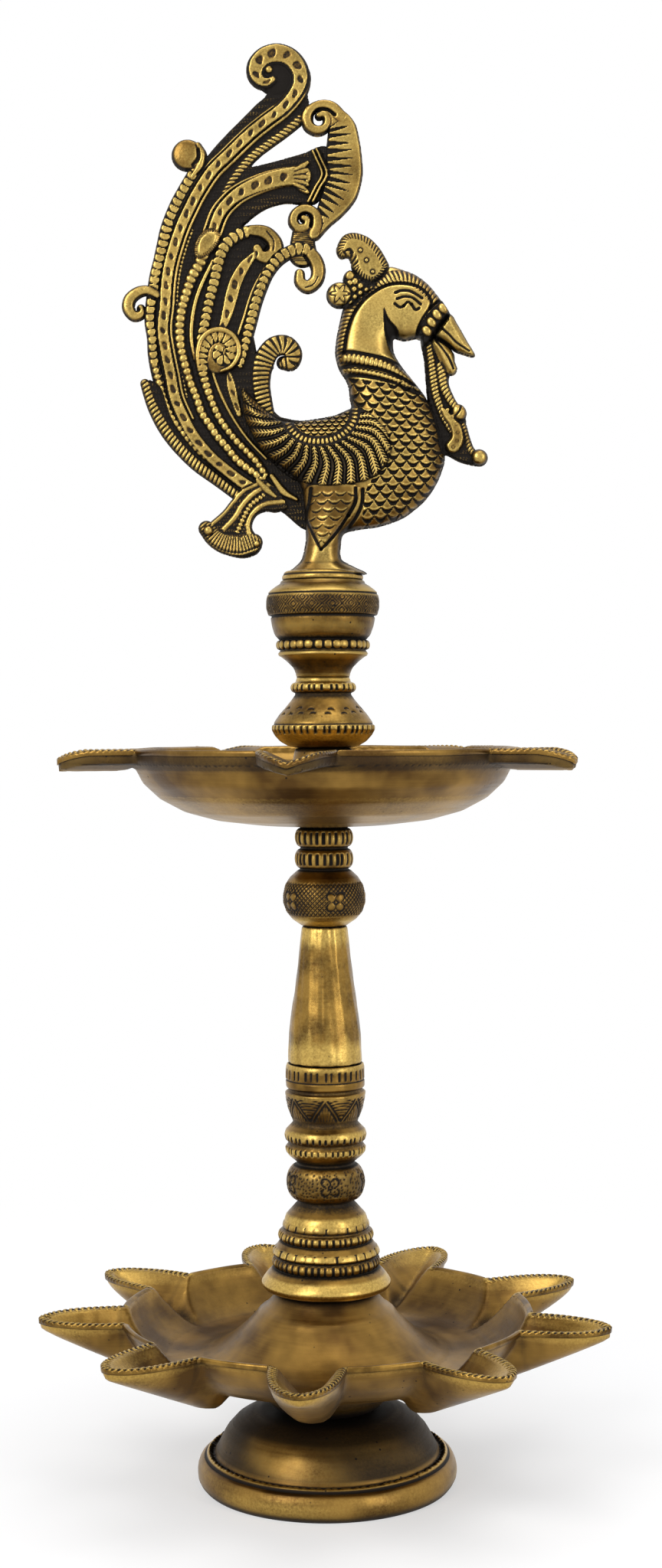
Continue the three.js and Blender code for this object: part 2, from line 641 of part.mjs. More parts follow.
const legSolid = slices([[discDrawn * 0.9, feetBack, feetFront, feetHalfDepth], ...leg]);
const discSolid = turned([
  [0, 0], [discRadius, 0], [discRadius, discHeight * 0.55], [discRadius * 0.91, discHeight],
    [0, discHeight],
]);
const drawn = join([tailFill, flare, plumeBack, fanFoot, ...feathers.map(feather), ...bird, legSolid]);
const peacock = cut(drawn.scale(unit).add(discSolid), [
  rod(studRadius + fitGap, -overcut, shortReach),
]).translate([0, 0, vaseTop]);

// Studs between the pieces

const reachIn = studReach - fitGap;
const shortIn = shortReach - fitGap;
const studs = {
  stem_stud: rod(studRadius, trayNeckTop - reachIn, trayNeckTop + reachIn),
  shaft_stud: rod(studRadius, stemTop - reachIn, stemTop + reachIn),
  knop_stud: rod(thinStudRadius, shaftTop - reachIn, shaftTop + reachIn),
  upper_tray_stud: rod(studRadius, knopTop - reachIn, upperNeckTop + reachIn),
  vase_stud: rod(thinStudRadius, vaseBaseTop - shortIn, vaseBaseTop + shortIn),
  peacock_stud: rod(studRadius, vaseTop - reachIn, vaseTop + shortIn),
};

const lamp = new THREE.Group();
lamp.add(
  piece('foot', foot, brass),
  piece('foot_stud', footStud, steel),
  piece('foot_washer', washer, steel),
  piece('foot_nut', nut, steel),
  piece('lower_tray', lowerTray, brass),
  piece('lower_stem', lowerStem, brass),
  piece('tapered_shaft', taperedShaft, brass),
  piece('ball_knop', ballKnop, brass),
  piece('upper_tray', upperTray, brass),
  piece('vase_base', vaseBase, brass),
  piece('vase_bowl', vaseBowl, brass),
  piece('peacock', peacock, brass),
  ...Object.entries(studs).map(([name, solid]) => piece(name, solid, darkBrass)),
);

export default lamp;
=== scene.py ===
"""Standing brass oil lamp: hollow foot, spouted dish, turned stem, lipped upper bowl and a peacock.

Shapes are worked out in millimetres in the lamp's own frame: +Z up, front towards -Y, floor at z = 0.
"""
import math

import bmesh
import bpy
import numpy as np
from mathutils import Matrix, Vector


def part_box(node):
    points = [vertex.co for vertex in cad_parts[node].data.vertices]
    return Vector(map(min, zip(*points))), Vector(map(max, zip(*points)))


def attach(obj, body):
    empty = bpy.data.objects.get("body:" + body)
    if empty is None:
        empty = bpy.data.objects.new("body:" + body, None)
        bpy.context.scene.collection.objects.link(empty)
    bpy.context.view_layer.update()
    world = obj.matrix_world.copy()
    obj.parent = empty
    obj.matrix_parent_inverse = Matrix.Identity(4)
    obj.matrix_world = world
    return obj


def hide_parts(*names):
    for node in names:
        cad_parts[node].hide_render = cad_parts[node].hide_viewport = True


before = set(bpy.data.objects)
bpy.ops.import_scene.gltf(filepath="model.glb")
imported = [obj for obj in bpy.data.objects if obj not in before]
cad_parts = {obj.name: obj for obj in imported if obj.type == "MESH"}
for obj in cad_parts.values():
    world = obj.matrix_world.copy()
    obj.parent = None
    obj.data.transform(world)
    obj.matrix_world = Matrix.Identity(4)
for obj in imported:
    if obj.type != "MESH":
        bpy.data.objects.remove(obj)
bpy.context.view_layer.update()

MM = 0.001
TURN = 2 * math.pi


def foot_of(name):
    """Height of a section's underside in the frame, in mm."""
    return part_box(name)[0].z / MM


def head_of(name):
    """Height of a section's top in the frame, in mm."""
    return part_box(name)[1].z / MM


# Heights at which the sections meet
FOOT_TOP = head_of("foot")
NECK = foot_of("lower_stem")
SHAFT = foot_of("tapered_shaft")
KNOP = foot_of("ball_knop")
BOWL = foot_of("upper_tray")
RIM = foot_of("vase_base")
VASE = foot_of("vase_bowl")
DISC = foot_of("peacock")

# Sizes that several pieces share, in mm
STUD_HOLE = 5.3
THIN_HOLE = 3.8
BOLT_HOLE = 4.3
HOLE_DEPTH = 11
ROUND = 300
DISH_RIM = 61
DISH_RADIUS = 73
SPOUTS = 9
SPOUT_TURN = -4.85
LIPS = 5
LIP_TURN = -7


# Finishes

def colour(code):
    """An sRGB hex value as linear red, green, blue and alpha."""
    parts = [int(code[i:i + 2], 16) / 255 for i in (1, 3, 5)]
    linear = [c / 12.92 if c <= 0.04045 else ((c + 0.055) / 1.055) ** 2.4 for c in parts]
    return (*linear, 1.0)


def node(tree, kind, inputs=None, **settings):
    """Adds a node: settings are its own properties, inputs are values or sockets to link from."""
    made = tree.nodes.new(kind)
    for key, value in settings.items():
        setattr(made, key, value)
    for key, value in (inputs or {}).items():
        if isinstance(value, bpy.types.NodeSocket):
            tree.links.new(value, made.inputs[key])
        else:
            made.inputs[key].default_value = value
    return made


def aged_brass(name, bright, mid, tarnish, patina, corner_shade=0.9, gloss=0.3, grain_mm=0.9, brushed=0.25,
               pits=0.5, cloud_mm=16, shade_reach_mm=2.6, ragged=0.16):
    """Cast brass that was wire-brushed, darkened all over and rubbed back: the hollows keep a near-black
    brown film, open faces are patchy olive brown, and edges that hands and rags reach are gold. An
    ambient-occlusion node adds painted shade in corners and creases, and the gold partly stands for
    painted highlight on high tops."""
    # Sand grain of 0.25 mm and wiping marks of 0.1 mm are too fine to show, so both are drawn coarser,
    # at grain_mm and streak_mm. Casting pits lie about 5 mm apart
    streak_mm, pit_mm, bump_mm = (20, 20, 0.625), 5.2, 0.12
    material = bpy.data.materials.new(name)
    material.use_nodes = True
    tree = material.node_tree
    tree.nodes.clear()

    # Patterns of the metal: patches, grain, the streaks that wiping round the axis leaves, casting pits
    place = node(tree, "ShaderNodeTexCoord").outputs["Object"]
    in_mm = node(tree, "ShaderNodeVectorMath", {0: place, "Scale": 1 / MM}, operation="SCALE").outputs[0]
    cloud = node(tree, "ShaderNodeTexNoise",
                 {"Vector": in_mm, "Scale": 1 / cloud_mm, "Detail": 3.0, "Roughness": 0.6}).outputs["Fac"]
    speckle = node(tree, "ShaderNodeTexNoise",
                   {"Vector": in_mm, "Scale": 1 / grain_mm, "Detail": 4.0, "Roughness": 0.7}).outputs["Fac"]
    wiped = node(tree, "ShaderNodeMapping",
                 {"Vector": in_mm, "Scale": [1 / length for length in streak_mm]}).outputs[0]
    streaks = node(tree, "ShaderNodeTexNoise",
                   {"Vector": wiped, "Scale": 1.0, "Detail": 3.0, "Roughness": 0.65}).outputs["Fac"]
    holes = node(tree, "ShaderNodeTexVoronoi", {"Vector": in_mm, "Scale": 1 / pit_mm}).outputs["Distance"]
    pit = node(tree, "ShaderNodeMapRange",
               {"Value": holes, "From Min": 0.045, "From Max": 0.085, "To Min": pits, "To Max": 0.0})

    # Dark film in the worked hollows and pits, painted shade in corners from the AO node, with a ragged
    # border
    film_and_shade = node(tree, "ShaderNodeAttribute", attribute_name="film_and_shade").outputs["Fac"]
    # Painted shade: ambient occlusion darkens corners and creases, also between separate pieces
    ao_corner_shade = node(tree, "ShaderNodeAmbientOcclusion", {"Distance": shade_reach_mm * MM}, samples=6).outputs["AO"]
    corner = node(tree, "ShaderNodeMapRange",
                  {"Value": ao_corner_shade, "From Min": 0.35, "From Max": 0.92, "To Min": corner_shade, "To Max": 0.0})
    held = node(tree, "ShaderNodeMath", {0: film_and_shade, 1: corner.outputs[0]}, operation="ADD").outputs[0]
    held = node(tree, "ShaderNodeMath", {0: held, 1: pit.outputs[0]}, operation="ADD").outputs[0]
    frayed = node(tree, "ShaderNodeMapRange",
                  {"Value": speckle, "From Min": 0.3, "From Max": 0.7, "To Min": -ragged, "To Max": ragged})
    held = node(tree, "ShaderNodeMath", {0: held, 1: frayed.outputs[0]}, operation="ADD").outputs[0]
    film = node(tree, "ShaderNodeMapRange", {"Value": held, "From Min": 0.12, "From Max": 0.85},
                interpolation_type="SMOOTHSTEP").outputs[0]

    # Open faces between tarnished and plain brass, and bright metal where the piece is rubbed and where it
    # has a painted highlight
    patch = node(tree, "ShaderNodeMath", {0: streaks, 1: brushed, 2: cloud}, operation="MULTIPLY_ADD")
    patch = node(tree, "ShaderNodeMapRange",
                 {"Value": patch.outputs[0], "From Min": 0.36 + brushed / 2, "From Max": 0.64 + brushed / 2})
    open_face = node(tree, "ShaderNodeMix", {"Factor": patch.outputs[0], "A": colour(tarnish),
                                             "B": colour(mid)}, data_type="RGBA")
    wear_and_highlight = node(tree, "ShaderNodeAttribute", attribute_name="wear_and_highlight").outputs["Fac"]
    # Painted highlight: the wear layer also brightens high tops, as light falling on them would
    rubbed_and_highlit = node(tree, "ShaderNodeMath", {0: wear_and_highlight, 1: speckle, 2: -0.12}, operation="MULTIPLY_ADD",
                  use_clamp=True)
    rubbed_and_highlit = node(tree, "ShaderNodeMath", {0: rubbed_and_highlit.outputs[0], 1: 1.6}, operation="MULTIPLY",
                  use_clamp=True).outputs[0]
    shown = node(tree, "ShaderNodeMix", {"Factor": rubbed_and_highlit, "A": open_face.outputs["Result"],
                                         "B": colour(bright)}, data_type="RGBA")
    painted = node(tree, "ShaderNodeMix", {"Factor": film, "A": shown.outputs["Result"],
                                           "B": colour(patina)}, data_type="RGBA")

    # The film and the painted corner shade are duller and less metallic than the brass under them
    metal = node(tree, "ShaderNodeMapRange", {"Value": film, "To Min": 1.0, "To Max": 0.7}).outputs[0]
    dull = node(tree, "ShaderNodeMath", {0: streaks, 1: 0.22, 2: gloss - 0.08}, operation="MULTIPLY_ADD")
    rough = node(tree, "ShaderNodeMath", {0: film, 1: 0.3, 2: dull.outputs[0]}, operation="MULTIPLY_ADD")
    relief = node(tree, "ShaderNodeMath", {0: streaks, 1: 0.5, 2: speckle}, operation="MULTIPLY_ADD")
    bumped = node(tree, "ShaderNodeBump", {"Strength": 0.25, "Distance": bump_mm * MM,
                                           "Height": relief.outputs[0]})
    shader = node(tree, "ShaderNodeBsdfPrincipled",
                  {"Base Color": painted.outputs["Result"], "Metallic": metal,
                   "Roughness": rough.outputs[0], "Normal": bumped.outputs["Normal"]})
    node(tree, "ShaderNodeOutputMaterial", {"Surface": shader.outputs[0]})
    return material


# Sand-cast brass of the foot and the trays, brushed and wiped: broad soft patches, few dark places
CAST = aged_brass("cast_brass_wiped", "#D0AC5A", "#927138", "#573F20", "#191109", brushed=0.12,
                  cloud_mm=24, corner_shade=0.75, shade_reach_mm=6, gloss=0.32, pits=0.5, ragged=0.05)
# Turned brass of the stem, cut with hand punches: dark grooves under rubbed rings
TURNED = aged_brass("turned_brass_punched", "#DDBB66", "#917035", "#563F1E", "#140E08", brushed=0.1,
                    cloud_mm=11, corner_shade=0.95, shade_reach_mm=2.2, gloss=0.3)
# Cast and chased brass of the bird: near-black ground, bright tops
CHASED = aged_brass("chased_brass_bird", "#E2C36E", "#8E6E36", "#56401F", "#130D07", brushed=0.05,
                    cloud_mm=9, corner_shade=1.15, shade_reach_mm=1.9, gloss=0.28, grain_mm=0.7, pits=0.2)
# Plain brass of the thread studs, never polished
THREAD = aged_brass("turned_brass_dull", "#B99A55", "#8F7440", "#6B5229", "#2A1D0F", gloss=0.42)
# Steel bolt, nut and washer in the foot: cold grey, lightly rusted in patches
STEEL = aged_brass("bolt_steel_dull", "#A5A49F", "#85837D", "#6A5E50", "#241E18", gloss=0.36)


# Mesh building

def ease(t):
    """A smooth step from 0 to 1."""
    t = np.clip(t, 0, 1)
    return t * t * (3 - 2 * t)


def window(value, low, high, edge=0.35):
    """1 between low and high, falling to 0 over the edge inside each."""
    return ease((value - low) / edge) * ease((high - value) / edge)


def new_mesh(name, points, faces):
    """A mesh from points in mm and faces."""
    mesh = bpy.data.meshes.new(name)
    mesh.from_pydata((np.asarray(points) * MM).tolist(), [], [list(map(int, f)) for f in faces])
    return mesh


def place_object(name, data):
    piece = bpy.data.objects.new(name, data)
    bpy.context.scene.collection.objects.link(piece)
    return piece


def show(name, shape, body, finish, stands_for=()):
    """A piece from its points, its faces, and each point's dark film with painted shade and its wear with
    painted highlight.
    """
    points, faces, film_and_shade, wear_and_highlight = shape
    dress(name, new_mesh(name, points, faces), body, finish, stands_for, film_and_shade, wear_and_highlight)


def dress(name, mesh, body, finish, stands_for, film_and_shade, wear_and_highlight):
    """Puts a mesh in the scene with its finish, its dark film with painted shade and its wear with painted
    highlight, on the body that carries it.
    """
    mesh.validate()
    # The first layer is dark film with painted shade, the second wear with painted highlight
    for key, values in (("film_and_shade", film_and_shade), ("wear_and_highlight", wear_and_highlight)):
        layer = mesh.attributes.new(key, "FLOAT", "POINT")
        layer.data.foreach_set("value", np.asarray(values, np.float32).ravel())
    mesh.polygons.foreach_set("use_smooth", np.ones(len(mesh.polygons), bool))
    mesh.materials.append(finish)
    piece = place_object(name, mesh)
    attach(piece, body)
    if stands_for:
        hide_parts(*stands_for)


def grid_faces(rows, columns, close_rows=False):
    """Quads over a grid whose columns run all the way round."""
    last = rows if close_rows else rows - 1
    i, j = np.meshgrid(np.arange(last), np.arange(columns), indexing="ij")
    i_next, j_next = (i + 1) % rows, (j + 1) % columns
    corners = [i * columns + j, i * columns + j_next, i_next * columns + j_next, i_next * columns + j]
    return np.stack([c.ravel() for c in corners], axis=1)


def arc(core, low, high, out, steps=8):
    """Points of a half-round bulge between two heights."""
    turn = np.linspace(0, math.pi, steps + 1)
    return [(core + out * math.sin(t), (low + high) / 2 - math.cos(t) * (high - low) / 2) for t in turn]


def fine_profile(profile, soften, fine, coarse, bands, closed):
    """The outline with its corners softened, sampled closely inside the bands of heights."""
    outline = np.array(profile, float)
    if closed:
        outline = np.vstack([outline, outline[:1]])
    along = np.concatenate([[0], np.cumsum(np.hypot(*np.diff(outline, axis=0).T))])
    dense_mm = 0.08
    count = int(along[-1] / dense_mm)
    at = np.linspace(0, along[-1], count)
    dense = np.stack([np.interp(at, along, outline[:, k]) for k in (0, 1)], axis=1)
    width = max(1, int(soften / dense_mm))
    kernel = np.exp(-np.linspace(-2, 2, 4 * width + 1) ** 2)
    kernel /= kernel.sum()
    mode = "wrap" if closed else "reflect"
    for k in (0, 1):
        if closed:
            padded = np.pad(dense[:-1, k], 2 * width, mode=mode)
            dense[:-1, k] = np.convolve(padded, kernel, "valid")
            dense[-1, k] = dense[0, k]
        else:
            padded = np.pad(dense[:, k], 2 * width, mode=mode, reflect_type="odd")
            dense[:, k] = np.convolve(padded, kernel, "valid")
    step = np.full(count, float(coarse))
    for low, high in bands:
        step[(dense[:, 1] >= low) & (dense[:, 1] <= high)] = fine
    density = np.concatenate([[0], np.cumsum(np.hypot(*np.diff(dense, axis=0).T) / step[1:])])
    picks = np.linspace(0, density[-1], int(density[-1]) + 1)
    return np.stack([np.interp(picks, density, dense[:, k]) for k in (0, 1)], axis=1)


def turned(profile, reliefs=(), sides=ROUND, soften=0.3, fine=0.36, coarse=0.8, bands=(), closed=False,
           wobble=0.09, seed=1):
    """Points, faces, recess and worn values of a profile of (radius, height) spun round the axis,
    with reliefs cut in it and the slight unevenness of hand work."""
    line = fine_profile(profile, soften, fine, coarse, bands, closed)
    if closed:
        line = line[:-1]
    else:
        line[0, 0], line[-1, 0] = 0, 0
    slope = np.gradient(line, axis=0)
    length = np.maximum(np.hypot(slope[:, 0], slope[:, 1]), 1e-6)
    out_r, out_z = slope[:, 1] / length, -slope[:, 0] / length
    if not closed:
        line, out_r, out_z = line[1:-1], out_r[1:-1], out_z[1:-1]
    r, z = line[:, :1], line[:, 1:]
    a = np.arange(sides)[None, :] * TURN / sides
    depth, film_and_shade = np.zeros((len(line), sides)), np.zeros((len(line), sides))
    for relief in reliefs:
        moved, dark = relief(a, r, z)
        depth += moved
        film_and_shade = np.maximum(film_and_shade, dark)
    phase = np.random.default_rng(seed).uniform(0, TURN, 4)
    sway = sum(np.sin(k * a + phase[k % 4] + z * 0.11 * k) for k in (2, 3, 5, 7)) / 4
    depth = depth + wobble * sway * np.minimum(1, r / 8)
    radius = r + depth * out_r[:, None]
    points = np.stack([radius * np.sin(a), -radius * np.cos(a), z + depth * out_z[:, None]], axis=-1)
    points = points.reshape(-1, 3)
    faces = [tuple(f) for f in grid_faces(len(line), sides, closed)]
    film_and_shade = film_and_shade.ravel()
    if not closed:
        foot, head = len(points), len(points) + 1
        points = np.vstack([points, [0, 0, z[0, 0]], [0, 0, z[-1, 0]]])
        film_and_shade = np.append(film_and_shade, [0, 0])
        top = (len(line) - 1) * sides
        faces += [(foot, (j + 1) % sides, j) for j in range(sides)]
        faces += [(head, top + j, top + (j + 1) % sides) for j in range(sides)]
    proud = standing_out(line[:, 0])
    wear_and_highlight = np.clip(np.clip(proud / 0.9, 0, 1)[:, None] + 0.8 * depth / 0.6, 0, 1).ravel()
    sunk = np.repeat(0.55 * np.clip(-proud / 1.1, 0, 1), sides)
    if not closed:
        wear_and_highlight, sunk = np.append(wear_and_highlight, [0, 0]), np.append(sunk, [0, 0])
    return points, faces, film_and_shade + sunk, wear_and_highlight


def standing_out(radius):
    """How many mm each point of a profile stands out from its neighbours: the rings that a rag
    polishes, and below zero the hollows that it misses."""
    width = 9
    padded = np.pad(radius, width, mode="edge")
    return radius - np.convolve(padded, np.ones(2 * width + 1) / (2 * width + 1), "valid")


def bored(outline, low=None, high=None):
    """The outline of a turned piece with blind holes of (radius, depth) for its studs."""
    foot, head = outline[0][1], outline[-1][1]
    line = list(outline)
    if low:
        line = [(0, foot + low[1]), (low[0], foot + low[1]), (low[0], foot)] + line
    else:
        line = [(0, foot)] + line
    if high:
        return line + [(high[0], head), (high[0], head - high[1]), (0, head - high[1])]
    return line + [(0, head)]


# Punch and chisel work on the turned pieces. Each returns a relief: (angle, radius, height) arrays
# in, how far the surface moves and how much dark film it holds out.

def uneven(count, amount, seed):
    """How far each of a row of marks strays from its even place."""
    return np.random.default_rng(seed).uniform(-amount, amount, count)


def notches(low, high, count, depth, width=0.42, seed=1, by_radius=False, edge=0.35):
    """A row of hand-cut notches across a ring."""
    shift, deep = uneven(count, 0.2, seed), 1 + uneven(count, 0.35, seed + 50)

    def relief(a, r, z):
        turn = (a / TURN) % 1 * count
        groove = np.zeros(np.broadcast(a, r).shape)
        for side in (0, 1):
            index = np.floor(turn).astype(int) + side
            gap = (turn - index - shift[index % count]) * TURN * r / count
            groove = np.maximum(groove, np.exp(-(gap / width) ** 2) * deep[index % count])
        share = groove * window(r if by_radius else z, low, high, edge)
        return -depth * share, np.clip(1.25 * share, 0, 1)
    return relief


def beads(low, high, count, out, seed=1, flat=2.0):
    """A row of round or flattened beads with dark gaps."""
    shift = uneven(count, 0.12, seed)

    def relief(a, r, z):
        turn = (a / TURN) % 1 * count
        index = np.floor(turn).astype(int)
        across = np.abs((turn - index - 0.5 - shift[index % count]) * 2) ** flat
        up = np.abs((z - (low + high) / 2) / ((high - low) / 2)) ** flat
        dome = np.sqrt(np.clip(1 - across - up, 0, 1))
        band = window(z, low - 0.2, high + 0.2, 0.3)
        return band * (dome * out - 0.35 * out), band * np.clip(1 - 1.9 * dome, 0, 1)
    return relief


def line_round(height, depth=0.3, width=0.28):
    """A turned or scribed line all the way round."""
    def relief(a, r, z):
        share = np.exp(-((z - height) / width) ** 2) * np.ones_like(a)
        return -depth * share, share
    return relief


def stipple(low, high, pitch, depth, radius, seed=1, amount=0.7):
    """Punch dots scattered over a band."""
    columns = int(TURN * radius / pitch)
    rows = int((high - low) / pitch) + 2
    dots = np.random.default_rng(seed).uniform(0.2, 0.8, (rows, columns, 2))
    struck = np.random.default_rng(seed + 9).uniform(0, 1, (rows, columns)) < amount

    def relief(a, r, z):
        u = (a / TURN) % 1 * columns
        v = (z - low) / pitch
        i, j = np.clip(np.floor(v).astype(int), 0, rows - 1), np.floor(u).astype(int) % columns
        gap = np.hypot(u - np.floor(u) - dots[i, j, 0], v - np.floor(v) - dots[i, j, 1]) * pitch
        share = np.exp(-(gap / (0.3 * pitch)) ** 2) * struck[i, j] * window(z, low, high)
        return -depth * share, np.maximum(share, 0.42 * window(z, low, high, 2.5))
    return relief


def flower_at(a, z, centre, middle, radius, size):
    """How near a point is to the outline of a four-petalled flower, and whether it is inside."""
    x = ((a - centre + math.pi) % TURN - math.pi) * radius
    y = z - middle
    reach, turn = np.hypot(x, y), np.arctan2(y, x)
    edge = size * (0.22 + 0.78 * np.abs(np.sin(2 * turn)) ** 0.7)
    outline = np.exp(-((reach - edge) / 0.4) ** 2)
    eye = np.exp(-((reach - 0.17 * size) / 0.3) ** 2)
    return np.maximum(outline, eye), ease((edge + 0.5 - reach) / 0.5)


def flowers(middle, count, radius, size, turn, low, high, pitch=1.6, depth=0.3):
    """Four-petalled flowers scribed on a cross-hatched ground."""
    def relief(a, r, z):
        u, v = a * radius / pitch, z / pitch
        hatch = np.maximum(np.cos(TURN * (u + v) / 2) ** 6, np.cos(TURN * (u - v) / 2) ** 6)
        lines, inside = np.zeros(np.broadcast(a, z).shape), np.zeros(np.broadcast(a, z).shape)
        for k in range(count):
            line, within = flower_at(a, z, turn + k * TURN / count, middle, radius, size)
            lines, inside = np.maximum(lines, line), np.maximum(inside, within)
        ground = 0.85 * hatch * (1 - inside) * window(z, low, high, 1.0)
        share = np.maximum(ground, lines)
        film = 0.2 * (1 - inside) * window(z, low - 2, high + 2, 3.0)
        return -depth * share, np.clip(np.maximum(share * 1.15, film), 0, 1)
    return relief


def chevrons(low, high, count):
    """Double-line V cuts with curved hatching in the triangles between them."""
    radius, depth, hatch_mm, line_mm = 14, 0.3, 1.15, 0.42

    def relief(a, r, z):
        u = np.abs(((a / TURN * count) % 1) - 0.5) * 2
        v = (z - low) / (high - low)
        pitch = TURN * radius / count / 2
        lines = sum(np.exp(-((u - v * 0.92 - shift) * pitch / line_mm) ** 2) for shift in (0.0, 0.24))
        arcs = np.cos(math.pi * ((z - low) / hatch_mm + 1.6 * u ** 2)) ** 4 * (u < v * 0.92 - 0.08)
        side = np.cos(math.pi * (u * pitch / hatch_mm + 0.8 * v)) ** 4 * (u > v * 0.92 + 0.3) * 0.7
        share = np.clip(lines + 0.85 * arcs + 0.75 * side, 0, 1) * window(z, low, high, 0.4)
        return -depth * share, np.maximum(1.2 * share, 0.12 * window(z, low, high, 0.6))
    return relief


def weave(low, high, radius):
    """Fine slanting hatch that changes hand every few lines, like basket work."""
    pitch, depth = 1.15, 0.22

    def relief(a, r, z):
        u, v = a * radius / pitch, z / pitch
        hand = np.where((np.floor(u / 3) + np.floor(v / 2)) % 2 < 1, 1, -1)
        share = np.cos(math.pi * (u + hand * v)) ** 4 * window(z, low, high, 0.5)
        return -depth * share, 0.75 * share
    return relief


def chips(low, high, count, depth, radius, seed=1):
    """A ragged row of crescent chisel marks."""
    shift, lift = uneven(count, 0.25, seed), uneven(count, 0.35, seed + 3)

    def relief(a, r, z):
        turn = (a / TURN) % 1 * count
        index = np.floor(turn).astype(int)
        gap = (turn - index - 0.5 - shift[index % count]) * TURN * radius / count
        up = z - (low + high) / 2 - lift[index % count] + 0.35 * gap ** 2
        share = np.exp(-(up / 0.32) ** 2) * ease((1.25 - np.abs(gap)) / 0.3)
        return -depth * share, share
    return relief


# Turned pieces

def make_foot():
    """Hollow bell, cushioned edge band, and a punched groove inside a bright ridge."""
    outside = [(BOLT_HOLE, FOOT_TOP), (17, FOOT_TOP), (22.5, 25.8), (27.6, 24.5), (32.6, 21.7), (35.8, 18.1),
               (37.8, 14.6), (39.1, 11.9), (39.9, 10.5), (40.5, 10.0), (41.0, 10.0), (41.5, 10.5),
               (42.1, 10.9), (42.7, 10.5), (43.0, 9.8), (43.4, 9.4), (44.0, 9.3), (44.9, 8.5), (45.7, 6.8),
               (46.1, 4.4), (45.9, 2.2), (44.8, 0)]
    inside = [(41.6, 0), (41.4, 4), (36.2, 7.6), (34.4, 12), (32.4, 16.6), (28, 20.6), (18, 23),
              (BOLT_HOLE, 23)]
    ticks = notches(40.0, 42.3, 104, 0.8, 0.6, seed=4, by_radius=True, edge=0.5)

    def top_only(a, r, z):
        moved, dark = ticks(a, r, z)
        upper = ease((z - 8.6) / 0.5)
        trough = np.maximum(window(r, 39.6, 41.4, 0.6), window(r, 42.5, 43.9, 0.5)) * upper
        spots = 0.35 + 0.4 * np.sin(2 * a + 2.3) + 0.25 * np.sin(5 * a + z / 5)
        film = window(r, 16, 39.8, 1.0) * upper * (0.7 - 0.45 * ease(spots) * window(r, 31, 41, 3))
        return moved * upper, np.maximum(dark * upper, np.maximum(0.85 * trough, film))
    points, faces, film_and_shade, wear_and_highlight = turned(outside + inside, [top_only], sides=360, soften=0.2, fine=0.42,
                                         coarse=1.4, bands=[(8.5, 12)], closed=True, wobble=0.16, seed=3)
    ridge = np.hypot(points[:, 0], points[:, 1])
    wear_and_highlight = np.maximum(0.35 * wear_and_highlight, window(ridge, 41.4, 42.9, 0.4) * (points[:, 2] > 9.6))
    band = window(points[:, 2], 0.2, 7.5, 2.0) * (ridge > 44) * 0.85
    patchy = 0.5 + 0.5 * np.sin(3 * np.arctan2(points[:, 1], points[:, 0]) + 1.2)
    wear_and_highlight = np.maximum(wear_and_highlight, band * patchy)
    points[:, 2] = np.maximum(points[:, 2], 0)
    show("foot_bell", (points, faces, film_and_shade, wear_and_highlight), "base", CAST, ["foot"])


def make_lower_stem():
    """Collar, two coned steps with notched rings, bell, flowered bulb, twin rings and V-cut band."""
    z = NECK
    outline = [(17.6, z), (21.4, z + 0.9), (22.9, z + 2.1), (22.9, z + 3.6), (21, z + 6.2), (19.0, z + 8.2)]
    outline += arc(17.8, z + 8.5, z + 12.4, 1.4)
    outline += [(18.3, z + 12.7), (18.9, z + 13.6), (18.2, z + 15.4), (16.6, z + 17.6)]
    outline += arc(15.5, z + 18.1, z + 21.7, 1.5)
    outline += [(15.0, z + 22.0), (15.3, z + 23.0), (14.8, z + 25), (14.2, z + 27), (12, z + 29.4),
                (9.9, z + 31.8)]
    outline += arc(10, z + 32.5, z + 45.1, 4.0, 14)
    outline += [(9.9, z + 45.6), (11, z + 46.6), (13, z + 48.3), (14.1, z + 49.8), (14.3, z + 51.2),
                (13.3, z + 52.4), (13.1, z + 53), (14.2, z + 54), (14.6, z + 55.6), (14.1, z + 57.3),
                (12.6, z + 58.8), (11.3, z + 60.2), (12.2, z + 62), (13.4, z + 65), (14.1, z + 68.4),
                (14.3, z + 70.8), (13.2, z + 71.3), (13.1, z + 72.2), (13.9, z + 72.7), (14, z + 75),
                (13.9, z + 79.6), (13.5, SHAFT)]
    cuts = [
        notches(z + 8.6, z + 12.3, 47, 0.75, 0.4, 11), beads(z + 13.2, z + 15.8, 30, 0.4, 12, 4),
        line_round(z + 12.9, 0.3), notches(z + 18.2, z + 21.6, 43, 0.7, 0.38, 13),
        beads(z + 22.6, z + 24.8, 24, 0.35, 14, 4),
        stipple(z + 33.5, z + 44.2, 1.25, 0.3, 13.8, 5, 0.75),
        # No hatching behind these flowers: its band lies above the piece
        flowers(z + 39, 5, 13.8, 3.9, 0.12, z + 90, z + 91, depth=0.34),
        notches(z + 49.3, z + 51.8, 38, 0.6, 0.36, 15), notches(z + 53.6, z + 56, 38, 0.6, 0.36, 16),
        chevrons(z + 61.6, z + 69.8, 7), line_round(z + 75.3, 0.32),
        notches(z + 75.9, z + 79.4, 34, 0.5, 0.42, 17),
    ]
    made = turned(bored(outline, (STUD_HOLE, HOLE_DEPTH), (STUD_HOLE, HOLE_DEPTH)), cuts, sides=256,
                  bands=[(z + 8, z + 25.5), (z + 33, z + 45), (z + 48.5, z + 58.5), (z + 61, SHAFT)],
                  fine=0.46, coarse=1.0, seed=5)
    show("stem_rings", made, "stem", TURNED, ["lower_stem"])


